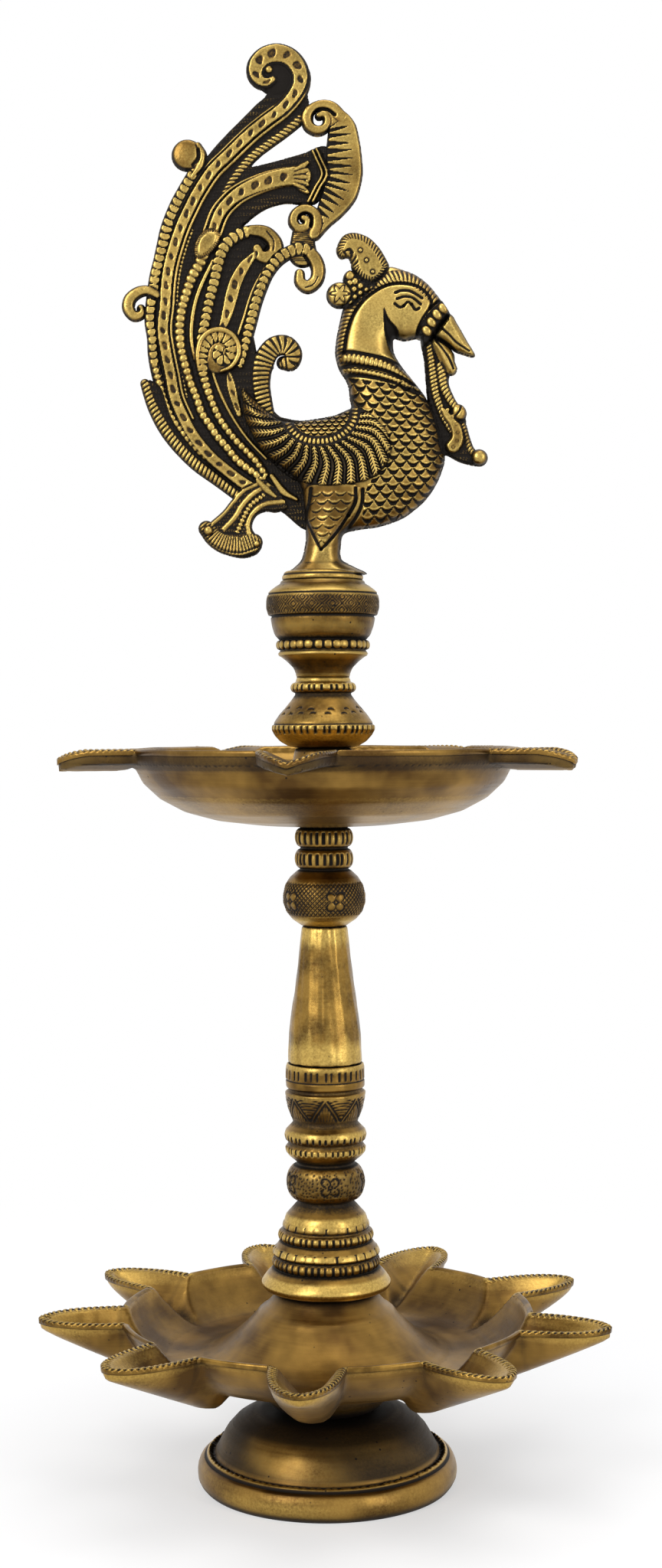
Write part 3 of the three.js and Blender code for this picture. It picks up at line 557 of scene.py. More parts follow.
def make_shaft():
    """Plain hand-filed taper with a bevel at its foot."""
    z, top = SHAFT, KNOP
    outline = [(12.7, z), (13.1, z + 0.8), (13.0, z + 4), (12.7, z + 10.6), (11.9, z + 17), (10.8, z + 24),
               (9.9, z + 31), (9.1, z + 38), (8.5, z + 44), (8.0, top - 0.6), (7.8, top)]

    def filed(a, r, h):
        flat = 0.1 * np.cos(11 * a + 0.8 * np.sin(h / 9)) + 0.05 * np.cos(23 * a + h / 7)
        seam = np.exp(-(((a + math.pi) % TURN - math.pi + 0.1) * r / 0.5) ** 2) * window(h, z + 5, top - 2, 6)
        return flat - 0.14 * seam, 0.3 * seam
    points, faces, film_and_shade, wear_and_highlight = turned(bored(outline, (STUD_HOLE, HOLE_DEPTH), (THIN_HOLE, HOLE_DEPTH)),
                                         [filed], sides=120, fine=0.9, coarse=1.2, wobble=0.12, seed=7)
    show("stem_taper", (points, faces, film_and_shade, np.maximum(wear_and_highlight, 0.3)), "stem", TURNED,
         ["tapered_shaft"])


def make_knop():
    """Flowered ball under two gouged rings."""
    z, top = KNOP, BOWL
    outline = [(7.9, z), (8.6, z + 0.5), (11.3, z + 2.3), (13.5, z + 5), (14.6, z + 8.2), (14.6, z + 11),
               (13.8, z + 14.4), (12, z + 17.2), (9.6, z + 19.4), (8.5, z + 20.0)]
    outline += arc(8.5, z + 20.3, z + 27.2, 1.9) + arc(8.3, z + 27.8, top - 0.4, 2.1) + [(8.6, top)]
    cuts = [flowers(z + 9.2, 5, 14.6, 4.1, 0.29, z + 3.4, z + 16.2, 1.7, 0.4),
            notches(z + 21.4, z + 26, 26, 0.75, 0.55, 21), notches(z + 28.8, z + 33.6, 26, 0.75, 0.55, 22)]
    made = turned(bored(outline, (THIN_HOLE, HOLE_DEPTH), (STUD_HOLE, HOLE_DEPTH)), cuts, sides=220,
                  bands=[(z + 2, top)], fine=0.42, seed=8)
    show("stem_ball", made, "stem", TURNED, ["ball_knop"])


def make_vase_cushion():
    """Cushion with a notched edge under a chiselled cone and a notched ring."""
    z = RIM
    outline = [(9.8, z), (12.4, z + 0.6), (15.2, z + 2.2), (17.2, z + 4.4), (18.2, z + 6.3), (18.2, z + 7.6),
               (17.6, z + 8.4), (17.2, z + 9.2), (15.5, z + 11.7), (13, z + 14.6), (11.2, z + 16.8),
               (9.9, z + 18.6), (9.8, z + 19)]
    outline += arc(9.9, z + 19.3, z + 23, 1.7) + [(9.6, z + 23.4), (9.4, VASE)]
    cuts = [notches(z + 4.9, z + 7.9, 42, 0.8, 0.42, 31), line_round(z + 8.4, 0.35, 0.26),
            chips(z + 11, z + 14, 19, 0.4, 15, 32), chips(z + 13, z + 15.2, 15, 0.35, 13, 33),
            notches(z + 19.7, z + 22.6, 27, 0.6, 0.42, 34)]
    points, faces, film_and_shade, wear_and_highlight = turned(bored(outline, (STUD_HOLE, HOLE_DEPTH), (THIN_HOLE, HOLE_DEPTH - 2)),
                                         cuts, sides=240, bands=[(z + 4, z + 16), (z + 19, z + 23.5)],
                                         fine=0.42, seed=9)
    wear_and_highlight = np.maximum(wear_and_highlight, 0.32 * window(points[:, 2], z + 1, z + 16, 4))
    show("vase_cushion", (points, faces, film_and_shade, wear_and_highlight), "finial", TURNED, ["vase_base"])


def make_vase_top():
    """Bowl of the vase, with a beaded ring and a woven band."""
    z, top = VASE, DISC
    outline = [(9.4, z), (9.5, z + 1.2), (10.4, z + 3.4), (12.6, z + 5.6), (14.6, z + 7.2), (15.8, z + 7.8),
               (15.9, z + 8.7), (15.1, z + 9.3)]
    outline += arc(15.1, z + 9.6, z + 13.1, 1.0)
    outline += [(15.6, z + 13.5), (16.9, z + 15), (17.9, z + 18), (18.4, z + 20.8), (18.2, z + 21.3),
                (19.2, z + 21.9), (19.9, z + 24.4), (19.9, z + 27), (19.5, z + 29), (19.3, z + 29.6),
                (18.4, z + 30.6), (16.6, z + 32), (14.9, z + 33), (14.7, top)]
    cuts = [beads(z + 9.7, z + 13.2, 31, 0.75, 41, 2.6), line_round(z + 21.4, 0.4, 0.3),
            weave(z + 22, z + 28.6, 19.8), line_round(z + 29.3, 0.45, 0.24)]
    points, faces, film_and_shade, wear_and_highlight = turned(bored(outline, (THIN_HOLE, HOLE_DEPTH - 2), (STUD_HOLE, HOLE_DEPTH)),
                                         cuts, sides=300, bands=[(z + 9, z + 13.8), (z + 21, z + 30)],
                                         fine=0.38, seed=10)
    show("vase_top", (points, faces, film_and_shade + 0.28, wear_and_highlight), "finial", TURNED, ["vase_bowl"])


# Trays

def solid(name, points, faces):
    """A closed helper mesh for joining and cutting, with its faces outwards."""
    mesh = new_mesh(name, points, faces)
    shape = bmesh.new()
    shape.from_mesh(mesh)
    bmesh.ops.recalc_face_normals(shape, faces=shape.faces)
    shape.to_mesh(mesh)
    shape.free()
    return place_object(name, mesh)


def loft(rings):
    """Points and faces of a skin over rings of equal count, capped at both ends."""
    count = len(rings[0])
    points = np.array([p for ring in rings for p in ring], float)
    faces = [tuple(f) for f in grid_faces(len(rings), count)]
    faces.append(tuple(range(count)))
    faces.append(tuple(range(len(points) - 1, len(points) - 1 - count, -1)))
    return points, faces


def around(shape, count, turn):
    """Copies of one shape, given pointing to the front, turned evenly about the axis."""
    points, faces = shape
    all_points, all_faces = [], []
    for k in range(count):
        angle = math.radians(turn) + k * TURN / count
        cos, sin = math.cos(angle), math.sin(angle)
        spin = np.array([[cos, -sin, 0], [sin, cos, 0], [0, 0, 1]])
        all_faces += [tuple(i + len(points) * k for i in f) for f in faces]
        all_points.append(points @ spin.T)
    return np.vstack(all_points), all_faces


def combine(body, tools, voxel):
    """The body after its tools, a list of (operation, helper): then remeshed so that every edge is
    slightly round, as on a casting."""
    for operation, tool in tools:
        step = body.modifiers.new(tool.name, "BOOLEAN")
        step.operation, step.solver, step.object = operation, "EXACT", tool
    remesh = body.modifiers.new("even", "REMESH")
    remesh.mode, remesh.voxel_size = "VOXEL", voxel * MM
    soft = body.modifiers.new("soft", "SMOOTH")
    soft.factor, soft.iterations = 0.5, 2
    graph = bpy.context.evaluated_depsgraph_get()
    mesh = bpy.data.meshes.new_from_object(body.evaluated_get(graph))
    for helper in [body] + [tool for _, tool in tools]:
        bpy.data.objects.remove(helper)
    mesh.materials.clear()
    return mesh


def mesh_points(mesh):
    """The points of a mesh in mm."""
    points = np.empty(len(mesh.vertices) * 3)
    mesh.vertices.foreach_get("co", points)
    return points.reshape(-1, 3) / MM


def plain_turned(profile):
    """Points and faces of a closed outline spun round the axis, without wobble or work on it."""
    return turned(profile, sides=144, soften=0.16, fine=0.8, coarse=1.6, closed=True, wobble=0.0)[:2]


def half_width(distance, tip, half, start, blunt=0.03):
    """Half the width of a spout or lip, rounded in plan like the end of an ellipse."""
    along = np.clip((distance - start) / (tip - start), 0, 1)
    return half * math.sqrt(max(blunt, 1 - along ** 2.3))


SPOUT_TIP = 101
SPOUT_HALF = 12.4


def spout_boat():
    """Outside of one spout: rounded keel that rises to a blunt tip."""
    rings = []
    tip_depth, fall, turn_up = 4.0, 0.45, 58
    stations = [SPOUT_TIP - (SPOUT_TIP - 70) * (k / 14) ** 1.7 for k in range(15)] + [66, 61, 56, 51, 47, 42]
    for distance in stations:
        depth = tip_depth + (SPOUT_TIP - distance) * fall
        if distance < turn_up:
            depth = tip_depth + (SPOUT_TIP - turn_up) * fall - 0.06 * (turn_up - distance) ** 1.8
        half = half_width(distance, SPOUT_TIP, SPOUT_HALF, DISH_RADIUS - 3)
        half *= min(1, max(0.5, (distance - 36) / 22))
        turns = np.linspace(0, math.pi, 15)
        section = [(half * np.sign(math.cos(t)) * abs(math.cos(t)) ** 0.72,
                    DISH_RIM - depth * math.sin(t) ** 1.15) for t in turns]
        rings.append([(x, -distance, z) for x, z in section])
    return loft(rings)


def spout_groove():
    """The V-shaped wick channel, from the tip down to the floor of the dish."""
    rings = []
    end = SPOUT_TIP - 2.1
    stations = [end - (end - 60) * (k / 14) ** 1.4 for k in range(15)] + [53]
    for distance in stations:
        depth = min(15.6, 1.3 + (end - distance) * 0.42)
        half = half_width(distance, end, SPOUT_HALF - 2.1, DISH_RADIUS - 5)
        wide = half * (depth + 2) / depth
        rings.append([(wide, -distance, DISH_RIM + 2), (0.25, -distance, DISH_RIM - depth),
                      (-0.25, -distance, DISH_RIM - depth), (-wide, -distance, DISH_RIM + 2)])
    return loft(rings)


def rim_path(count, turn, tip, half, circle, start, blunt=0.03):
    """The outline of a tray seen from above, and 1 where it runs along a spout or lip."""
    path = []
    join_at = next(d for d in np.linspace(start, tip, 400)
                   if math.hypot(d, half_width(d, tip, half, start, blunt)) > circle)
    gap = math.atan2(half_width(join_at, tip, half, start, blunt), join_at)
    for k in range(count):
        centre = math.radians(turn) + k * TURN / count
        steps = tip - (tip - join_at) * np.linspace(1, 0, 44) ** 1.7
        side = [(half_width(d, tip, half, start, blunt), d) for d in steps]
        nose = side[-1][0]
        cap = [(nose * math.cos(t), side[-1][1] + 0.12 * nose * math.sin(t))
               for t in np.linspace(0, math.pi, 7)]
        lobe = [(-w, d) for w, d in side] + [(-w, d) for w, d in cap[1:-1]] + [(w, d) for w, d in side[::-1]]
        for across, out in lobe:
            path.append((across * math.cos(centre) + out * math.sin(centre),
                         across * math.sin(centre) - out * math.cos(centre), 1.0))
        low, high = centre + gap, centre + TURN / count - gap
        for t in np.linspace(low, high, 26)[1:-1]:
            path.append((circle * math.sin(t), -circle * math.cos(t), 0.0))
    return np.array(path)


def edge_strip(path, top, depth, seed, dip=None):
    """A raised strip round the rim, with crescent cuts across it where it runs along a spout or lip."""
    step, pitch, inset, width, drop = 0.4, 2.2, 0.1, 1.9, 1.7
    closed = np.vstack([path, path[:1]])
    along = np.concatenate([[0], np.cumsum(np.hypot(*np.diff(closed[:, :2], axis=0).T))])
    count = int(along[-1] / step)
    at = np.arange(count) * along[-1] / count
    x, y, spout = (np.interp(at, along, closed[:, k]) for k in range(3))
    kernel = np.ones(5) / 5
    x, y = (np.convolve(np.pad(v, 2, mode="wrap"), kernel, "valid") for v in (x, y))
    tx, ty = (np.roll(v, -1) - np.roll(v, 1) for v in (x, y))
    size = np.hypot(tx, ty)
    nx, ny = -ty / size, tx / size
    sign = np.sign(np.mean(nx * x + ny * y))
    nx, ny = nx * sign, ny * sign
    section = [(0.25, -drop), (0.3, -0.25), (0.05, 0.2), (-0.3, 0.34), (-0.75, 0.3), (-1.15, 0.14),
               (-1.55, -0.1), (-1.9, -0.4), (-2.15, -0.85), (-2.15, -drop)]
    rng = np.random.default_rng(seed)
    wave = 0.12 * np.sin(at / 9 + 1) + 0.1 * np.sin(at / 4.3)
    jitter = np.interp(at, np.arange(0, along[-1] + 8, 8), rng.uniform(-0.3, 0.3, int(along[-1] / 8) + 2))
    points, film_and_shade, wear_and_highlight = [], [], []
    for across, up in section:
        share = across * width / 2.0 * (1 + 0.45 * spout) - inset
        bow = 0.9 * (across + 1) ** 2
        cut = np.cos(math.pi * (at + jitter + bow) / pitch) ** 4 * spout * (-1.9 <= across) * (across < 0.2)
        height = top + up + wave * 0.5 - depth * cut
        if dip is not None:
            height = height - dip(x, y)
        points.append(np.stack([x + nx * share, y + ny * share, height], axis=1))
        film_and_shade.append(1.1 * cut)
        wear_and_highlight.append(np.where(cut > 0.3, 0.0, 0.25 + 0.6 * spout * (-2 < across < 0.2)))
    points = np.stack(points, axis=1).reshape(-1, 3)
    faces = [tuple(f) for f in grid_faces(count, len(section), True)]
    return points, faces, np.stack(film_and_shade, axis=1).ravel(), np.stack(wear_and_highlight, axis=1).ravel()


def make_lower_tray():
    """Dish with a trumpet cone, a bowl-shaped boss and nine boat-shaped spouts, one casting."""
    body = [(0.01, FOOT_TOP), (15.5, FOOT_TOP), (18.6, 26.9), (21, 29.2), (22.6, 32.6), (23.2, 35.6),
            (25, 39), (29, 41.8), (36, 42.9), (51, 43), (57, 44), (62.5, 47), (67.5, 51.2), (71.2, 56.4),
            (DISH_RADIUS, DISH_RIM), (24.4, DISH_RIM), (21.6, 62.7), (19.2, 65.2), (17.4, NECK), (0.01, NECK)]
    hollow = [(24, DISH_RIM + 4), (24, DISH_RIM), (25.6, 59), (29.4, 55.2), (33, 52), (37, 49), (41, 46.8),
              (45.5, 45.6), (54, 45.6), (58, 46.4), (62.2, 48.8), (66, 52.4), (69, 56.6), (71, DISH_RIM),
              (71, DISH_RIM + 4)]
    dish = solid("dish", *plain_turned(body))
    tools = [("UNION", solid("boats", *around(spout_boat(), SPOUTS, SPOUT_TURN))),
             ("DIFFERENCE", solid("hollow", *plain_turned(hollow))),
             ("DIFFERENCE", solid("grooves", *around(spout_groove(), SPOUTS, SPOUT_TURN)))]
    mesh = combine(dish, tools, 1.25)
    points = mesh_points(mesh)
    r, z = np.hypot(points[:, 0], points[:, 1]), points[:, 2]
    # Darker on the dish's underside and the cone below it, inside the dish, and on the outside just under the
    # rim
    below = (z < 44) * (r > 22)
    film_and_shade = 0.3 * below * ease((46 - z) / 6) + 0.35 * window(r, 14, 26, 6) * (z < 40)
    film_and_shade += 0.3 * window(r, 38, 72, 5) * (z > 46) + 0.3 * window(r, 71.5, 75.5, 1.5) * (z < 60)
    wear_and_highlight = 0.5 * ease((r - 74) / 20) + 0.35 * window(z, 56, 63, 2) * (r > 66) + 0.2 * (r < 44) * (z > 46)
    dress("dish_casting", mesh, "base", CAST, ["lower_tray"], film_and_shade, wear_and_highlight)
    path = rim_path(SPOUTS, SPOUT_TURN, SPOUT_TIP, SPOUT_HALF, DISH_RADIUS, DISH_RADIUS - 3)
    show("dish_edge", edge_strip(path, DISH_RIM - 0.1, 0.7, seed=3), "base", TURNED)


BOWL_RADIUS = 68.7
LIP_TIP = 93
LIP_HALF = 12.6
LIP_DIP = 3.4
LIP_BLUNT = 0.05
BAND = 5.4


def lip_fold(across, distance):
    """How deep the V fold of a lip is at some mm from its middle line and from the lamp's axis."""
    return LIP_DIP * ease((distance - BOWL_RADIUS + 7) / 10) * np.clip(1 - across / (LIP_HALF * 0.82), 0, 1)


def lip_dip(x, y):
    """How far the lips sink the rim at a place seen from above."""
    turn = np.arctan2(x, -y) - math.radians(LIP_TURN)
    local = (turn + math.pi / LIPS) % (TURN / LIPS) - math.pi / LIPS
    distance = np.hypot(x, y)
    return lip_fold(np.abs(distance * np.sin(local)), distance)


def lip_plate():
    """One flat lip with a V fold, from inside the wall of the bowl to its rounded tip."""
    rings = []
    for distance in [LIP_TIP - (LIP_TIP - 66) * (k / 12) ** 1.7 for k in range(13)]:
        half = half_width(distance, LIP_TIP, LIP_HALF, BOWL_RADIUS - 1, LIP_BLUNT)
        across = np.linspace(half, -half, 9)
        fold = lip_fold(np.abs(across), distance)
        top = [(x, -distance, RIM - deep) for x, deep in zip(across, fold)]
        low = [(x, -distance, RIM - BAND + 0.4 - deep * 0.8) for x, deep in zip(across[::-1], fold[::-1])]
        rings.append(top + low)
    return loft(rings)


def lip_channel():
    """The V-shaped wick channel of one lip."""
    rings = []
    end = LIP_TIP - 2.2
    for distance in [end - (LIP_TIP - 58) * (k / 10) ** 1.3 for k in range(11)]:
        half = max(0.6, half_width(distance, end, LIP_HALF - 2.4, BOWL_RADIUS - 1))
        rings.append([(half * 1.7, -distance, RIM + 3), (0, -distance, RIM - LIP_DIP - 1.4),
                      (-half * 1.7, -distance, RIM + 3)])
    return loft(rings)


def make_upper_tray():
    """Shallow bowl on a small cone, its rim a plain vertical band that runs out into five folded lips."""
    foot = RIM - BAND
    body = [(0.01, BOWL), (10, BOWL + 0.1), (24, BOWL + 0.9), (38, BOWL + 2.6), (49, BOWL + 5.6),
            (57.6, BOWL + 10.2), (63.6, BOWL + 15.8), (66.8, foot - 0.4), (BOWL_RADIUS - 0.2, foot),
            (BOWL_RADIUS, foot + 1), (BOWL_RADIUS, RIM), (0.01, RIM)]
    hollow = [(10, RIM + 4), (10, RIM), (12.4, RIM - 12), (19, BOWL + 4.6), (38, BOWL + 5.4),
              (48.6, BOWL + 8.6), (57, BOWL + 14), (63.4, foot + 0.6), (66.1, foot + 2.4), (66.1, RIM + 4)]
    bowl = solid("bowl", *plain_turned(body))
    tools = [("UNION", solid("lips", *around(lip_plate(), LIPS, LIP_TURN))),
             ("DIFFERENCE", solid("hollow", *plain_turned(hollow))),
             ("DIFFERENCE", solid("channels", *around(lip_channel(), LIPS, LIP_TURN)))]
    mesh = combine(bowl, tools, 1.1)
    points = mesh_points(mesh)
    r, z = np.hypot(points[:, 0], points[:, 1]), points[:, 2]
    # Darker on the outside of the rim band, along its lower edge and on the bowl just below it
    film_and_shade = 0.22 * window(z, foot - 7, foot + BAND, 3) * (r > 55)
    film_and_shade += 0.3 * window(z, foot - 2.2, foot + 0.8, 1)
    film_and_shade += 0.32 * (r > BOWL_RADIUS - 0.8) * (z > foot)
    wear_and_highlight = 0.4 * (r < 60) * (z < BOWL + 12) + 0.3 * (z > RIM - 1) + 0.45 * ease((r - 72) / 18)
    dress("bowl_casting", mesh, "bowl", CAST, ["upper_tray"], film_and_shade, wear_and_highlight)
    path = rim_path(LIPS, LIP_TURN, LIP_TIP, LIP_HALF, BOWL_RADIUS, BOWL_RADIUS - 1, LIP_BLUNT)
    strip = edge_strip(path, RIM - 0.35, 0.5, seed=8, dip=lip_dip)
    show("bowl_edge", strip, "bowl", CAST)


# Peacock: a flat casting worked alike on both faces. It is drawn on a sheet ruled in squares of
# 0.27 mm, x to the right and y down, with the middle of the disc's underside at (424, 758). Points,
# widths and radii of its parts are in squares, and heights above the middle plane are in mm.
# The cast bird came out a little lower than its drawing and leans forward by a third of a degree.

SQUARE = 0.27
SHEET_X, SHEET_Y = 424, 758
SHRINK_ACROSS, SHRINK_UP = 0.996, 0.991
LEAN = math.radians(0.33)
GRID, FINE_GRID = 0.32, 0.2


def on_sheet(points):
    """Ruled (x, y) as (across, height) in mm from the middle of the disc's underside."""
    points = np.asarray(points, float)
    x = (points[:, 0] - SHEET_X) * SQUARE * SHRINK_ACROSS
    z = (SHEET_Y - points[:, 1]) * SQUARE * SHRINK_UP
    cos, sin = math.cos(LEAN), math.sin(LEAN)
    return np.stack([x * cos + z * sin, z * cos - x * sin], axis=1)


def blurred(layer, cells):
    """A layer smoothed over some cells each way."""
    reach = int(3 * cells) + 1
    weights = np.exp(-0.5 * (np.arange(-reach, reach + 1) / cells) ** 2)
    weights /= weights.sum()
    padded = np.pad(layer, reach, mode="edge")
    rows = sum(w * padded[:, i:i + layer.shape[1]] for i, w in enumerate(weights))
    return sum(w * rows[i:i + layer.shape[0]] for i, w in enumerate(weights))


def curve_through(points, closed=False):
    """A smooth line through the points, with its tangents, the mm along it and those at the points."""
    step, parts = 0.22, 14
    p = np.asarray(points, float)
    if closed:
        p = np.vstack([p[-1], p, p[:2]])
    else:
        p = np.vstack([2 * p[0] - p[1], p, 2 * p[-1] - p[-2]])
    t = np.linspace(0, 1, parts, endpoint=False)[:, None]
    pieces = []
    for a, b, c, d in zip(p[:-3], p[1:-2], p[2:-1], p[3:]):
        pieces.append(0.5 * (2 * b + (c - a) * t + (2 * a - 5 * b + 4 * c - d) * t ** 2
                             + (3 * b - a - 3 * c + d) * t ** 3))
    line = np.vstack(pieces + [p[-2:-1]])
    along = np.concatenate([[0], np.cumsum(np.hypot(*np.diff(line, axis=0).T))])
    knots = along[np.minimum(np.arange(len(p) - 2) * parts, len(along) - 1)]
    at = np.linspace(0, along[-1], max(4, int(along[-1] / step)))
    line = np.stack([np.interp(at, along, line[:, k]) for k in (0, 1)], axis=1)
    tangent = np.gradient(line, axis=0)
    tangent /= np.maximum(np.hypot(tangent[:, 0], tangent[:, 1]), 1e-9)[:, None]
    return line, tangent, at, knots


class Sheet:
    """Half-thickness, dark film with painted shade, and wear with painted highlight over the drawing, on a
    grid with its spacing in mm. `edge` is how many mm a point is inside the outline, and fullness widens
    every band."""

    def __init__(self, left, right, low, high, grid, fullness=1.0):
        self.grid, self.fullness = grid, fullness
        self.x, self.z = np.meshgrid(np.arange(left, right, grid), np.arange(low, high, grid))
        shape = self.x.shape
        self.edge = np.full(shape, -99.0)
        self.height, self.dark, self.wear_and_highlight = np.zeros(shape), np.zeros(shape), np.zeros(shape)
        self.noise = np.random.default_rng(2).uniform(-1, 1, shape)

    def near(self, line, reach):
        """The cells in a box round the line."""
        (x0, z0), (x1, z1) = line.min(axis=0) - reach, line.max(axis=0) + reach
        keep = (self.x > x0) & (self.x < x1) & (self.z > z0) & (self.z < z1)
        return np.nonzero(keep)

    def locate(self, where, line, tangent, at):
        """Distance, side (positive to the left) and length along the line for the chosen cells."""
        q = np.stack([self.x[where], self.z[where]], axis=1)
        nearest = np.empty(len(q), int)
        batch = 20000
        for start in range(0, len(q), batch):
            part = q[start:start + batch]
            gap = (part ** 2).sum(1)[:, None] - 2 * part @ line.T + (line ** 2).sum(1)
            nearest[start:start + batch] = gap.argmin(axis=1)
        away = q - line[nearest]
        t = tangent[nearest]
        side = t[:, 0] * away[:, 1] - t[:, 1] * away[:, 0]
        along = at[nearest] + (away * t).sum(1)
        return np.hypot(away[:, 0], away[:, 1]), side, along

    def lay(self, where, share, height, dark, wear_and_highlight):
        """Blends new values over the old ones."""
        for layer, value in ((self.height, height), (self.dark, dark), (self.wear_and_highlight, wear_and_highlight)):
            layer[where] = layer[where] * (1 - share) + value * share

    def stroke(self, points, half, height, look, solid=True, soft=0.3):
        """A raised band along a line. half is one half-width or one for each point. A solid band adds
        to the outline."""
        line, tangent, at, knots = curve_through(on_sheet(points))
        half = np.atleast_1d(np.asarray(half, float)) * SQUARE * self.fullness
        if len(half) == 1:
            half = np.repeat(half, len(points))
        where = self.near(line, half.max() + 0.5)
        away, side, along = self.locate(where, line, tangent, at)
        wide = np.interp(along, knots, half)
        inside = wide - away
        if solid:
            self.edge[where] = np.maximum(self.edge[where], inside)
        across = np.clip(side / wide, -1, 1)
        across = np.where(np.abs(across) > 0.999, np.sign(across) * np.minimum(1, away / wide), across)
        rise, dark, wear_and_highlight = look(across, along, wide)
        self.lay(where, ease((inside + soft * 0.5) / soft), height + rise, dark, wear_and_highlight)

    def area(self, points, height, look, solid=True, soft=0.3):
        """A raised patch inside a closed outline."""
        line, tangent, at, _ = curve_through(on_sheet(points), closed=True)
        where = self.near(line, 1.0)
        away, _, along = self.locate(where, line, tangent, at)
        x, z = self.x[where], self.z[where]
        crossings = np.zeros(len(x), int)
        for (xa, za), (xb, zb) in zip(line, np.roll(line, -1, axis=0)):
            if za != zb:
                crossings += ((za > z) != (zb > z)) & (x < (xb - xa) * (z - za) / (zb - za) + xa)
        inside = np.where(crossings % 2 == 1, away, -away)
        if solid:
            self.edge[where] = np.maximum(self.edge[where], inside)
        rise, dark, wear_and_highlight = look(x, z, inside, along)
        self.lay(where, ease((inside + soft * 0.5) / soft), height + rise, dark, wear_and_highlight)

    def on_top(self, work, *details):
        """Adds a patch or band to the height that is there, so that it follows the roundness of the body."""
        before = self.height.copy()
        self.height[:] = 0
        work(*details, solid=False)
        self.height += before

    def dome(self, centre, radius, height, rise, look=None, tall=1.0, tilt=0.0, solid=True):
        """A round or oval boss, plain with a dark foot where it has no look of its own."""
        (cx, cz), = on_sheet([centre])
        size = radius * SQUARE
        where = np.nonzero(np.hypot(self.x - cx, self.z - cz) < size * max(1, tall) + 0.5)
        x, z = self.x[where] - cx, self.z[where] - cz
        turn = math.radians(tilt)
        u = (x * math.cos(turn) + z * math.sin(turn)) / size
        v = (z * math.cos(turn) - x * math.sin(turn)) / size / tall
        reach = np.hypot(u, v)
        inside = (1 - reach) * size
        if solid:
            self.edge[where] = np.maximum(self.edge[where], inside)
        bulge = rise * np.sqrt(np.clip(1 - reach ** 2, 0, 1))
        cut, dark, wear_and_highlight = 0, 0.75 * ease((reach - 0.82) / 0.18), 0.8 - 0.5 * reach
        if look:
            cut, dark, wear_and_highlight = look(u, v, reach)
        self.lay(where, ease((inside + 0.12) / 0.25), height + bulge + cut, dark, wear_and_highlight)

    def engrave(self, points, half, depth):
        """A cut line, full of dark film."""
        line, tangent, at, _ = curve_through(on_sheet(points))
        size = half * SQUARE
        where = self.near(line, size * 3)
        away, _, along = self.locate(where, line, tangent, at)
        ends = ease(np.minimum(along, at[-1] - along) / (2 * size) + 1)
        share = np.exp(-(away / size) ** 2) * ends
        self.height[where] -= depth * share
        self.dark[where] = np.maximum(self.dark[where], share)
        self.wear_and_highlight[where] *= 1 - share

    def weather(self, hollow=3.2):
        """Dark film gathers in small hollows. Down steep sides, on the flanks and in the large hollows of the
        form and round the outline the darkening is partly film and partly painted shade. High edges are
        rubbed bright, partly as painted highlight, and steep sides and flanks lose brightness as painted
        shade. hollow is how much film a hollow of 1 mm holds."""
        hollow_mm, form_mm, deep_mm, cloud_mm = 0.7, 1.4, 2.2, 3.0
        rim, outline_shade_mm, steep_shade = 0.75, 1.1, 0.35
        smooth = blurred(self.height, hollow_mm / self.grid)
        sunk = smooth - self.height
        gz, gx = np.gradient(blurred(self.height, 1.0), self.grid)
        slope = np.hypot(gx, gz)
        outline_shade = 1 - np.clip(self.edge / outline_shade_mm, 0, 1)
        form = blurred(self.height, form_mm / self.grid)
        gz, gx = np.gradient(form, self.grid)
        flank_shade = np.clip(np.hypot(gx, gz) - 0.25, 0, 1)
        deep = np.clip((blurred(form, deep_mm / self.grid) - form) * 0.9, 0, 0.5)
        cloud = blurred(self.noise, cloud_mm / self.grid)
        cloud = 0.5 + 0.22 * cloud / cloud.std()
        # Painted shade: steep sides, flanks, large hollows of the form and a band round the outline are
        # darkened, partly as film
        side = np.minimum(steep_shade * np.clip(slope - 0.6, 0, 1.5) + 0.5 * flank_shade, 0.42)
        self.dark = self.dark + np.clip(sunk * hollow, -0.25, 0.8) + side
        self.dark = np.maximum(self.dark + deep, rim * outline_shade ** 1.2)
        # Painted highlight and shade: high tops are brightened, partly as rubbing, and steep sides and flanks
        # dimmed
        self.wear_and_highlight = self.wear_and_highlight * (0.4 + 0.9 * cloud) + np.clip(-sunk * 2.0, 0, 0.5)
        self.wear_and_highlight -= 0.35 * np.clip(slope - 0.4, 0, 1) + 0.5 * flank_shade

    def sample(self, other):
        """This sheet's height at the points of another sheet."""
        col, row = (other.x - self.x[0, 0]) / self.grid, (other.z - self.z[0, 0]) / self.grid
        i, j = np.floor(row).astype(int), np.floor(col).astype(int)
        b, a = row - i, col - j
        h = self.height
        return (h[i, j] * (1 - a) * (1 - b) + h[i, j + 1] * a * (1 - b)
                + h[i + 1, j] * (1 - a) * b + h[i + 1, j + 1] * a * b)

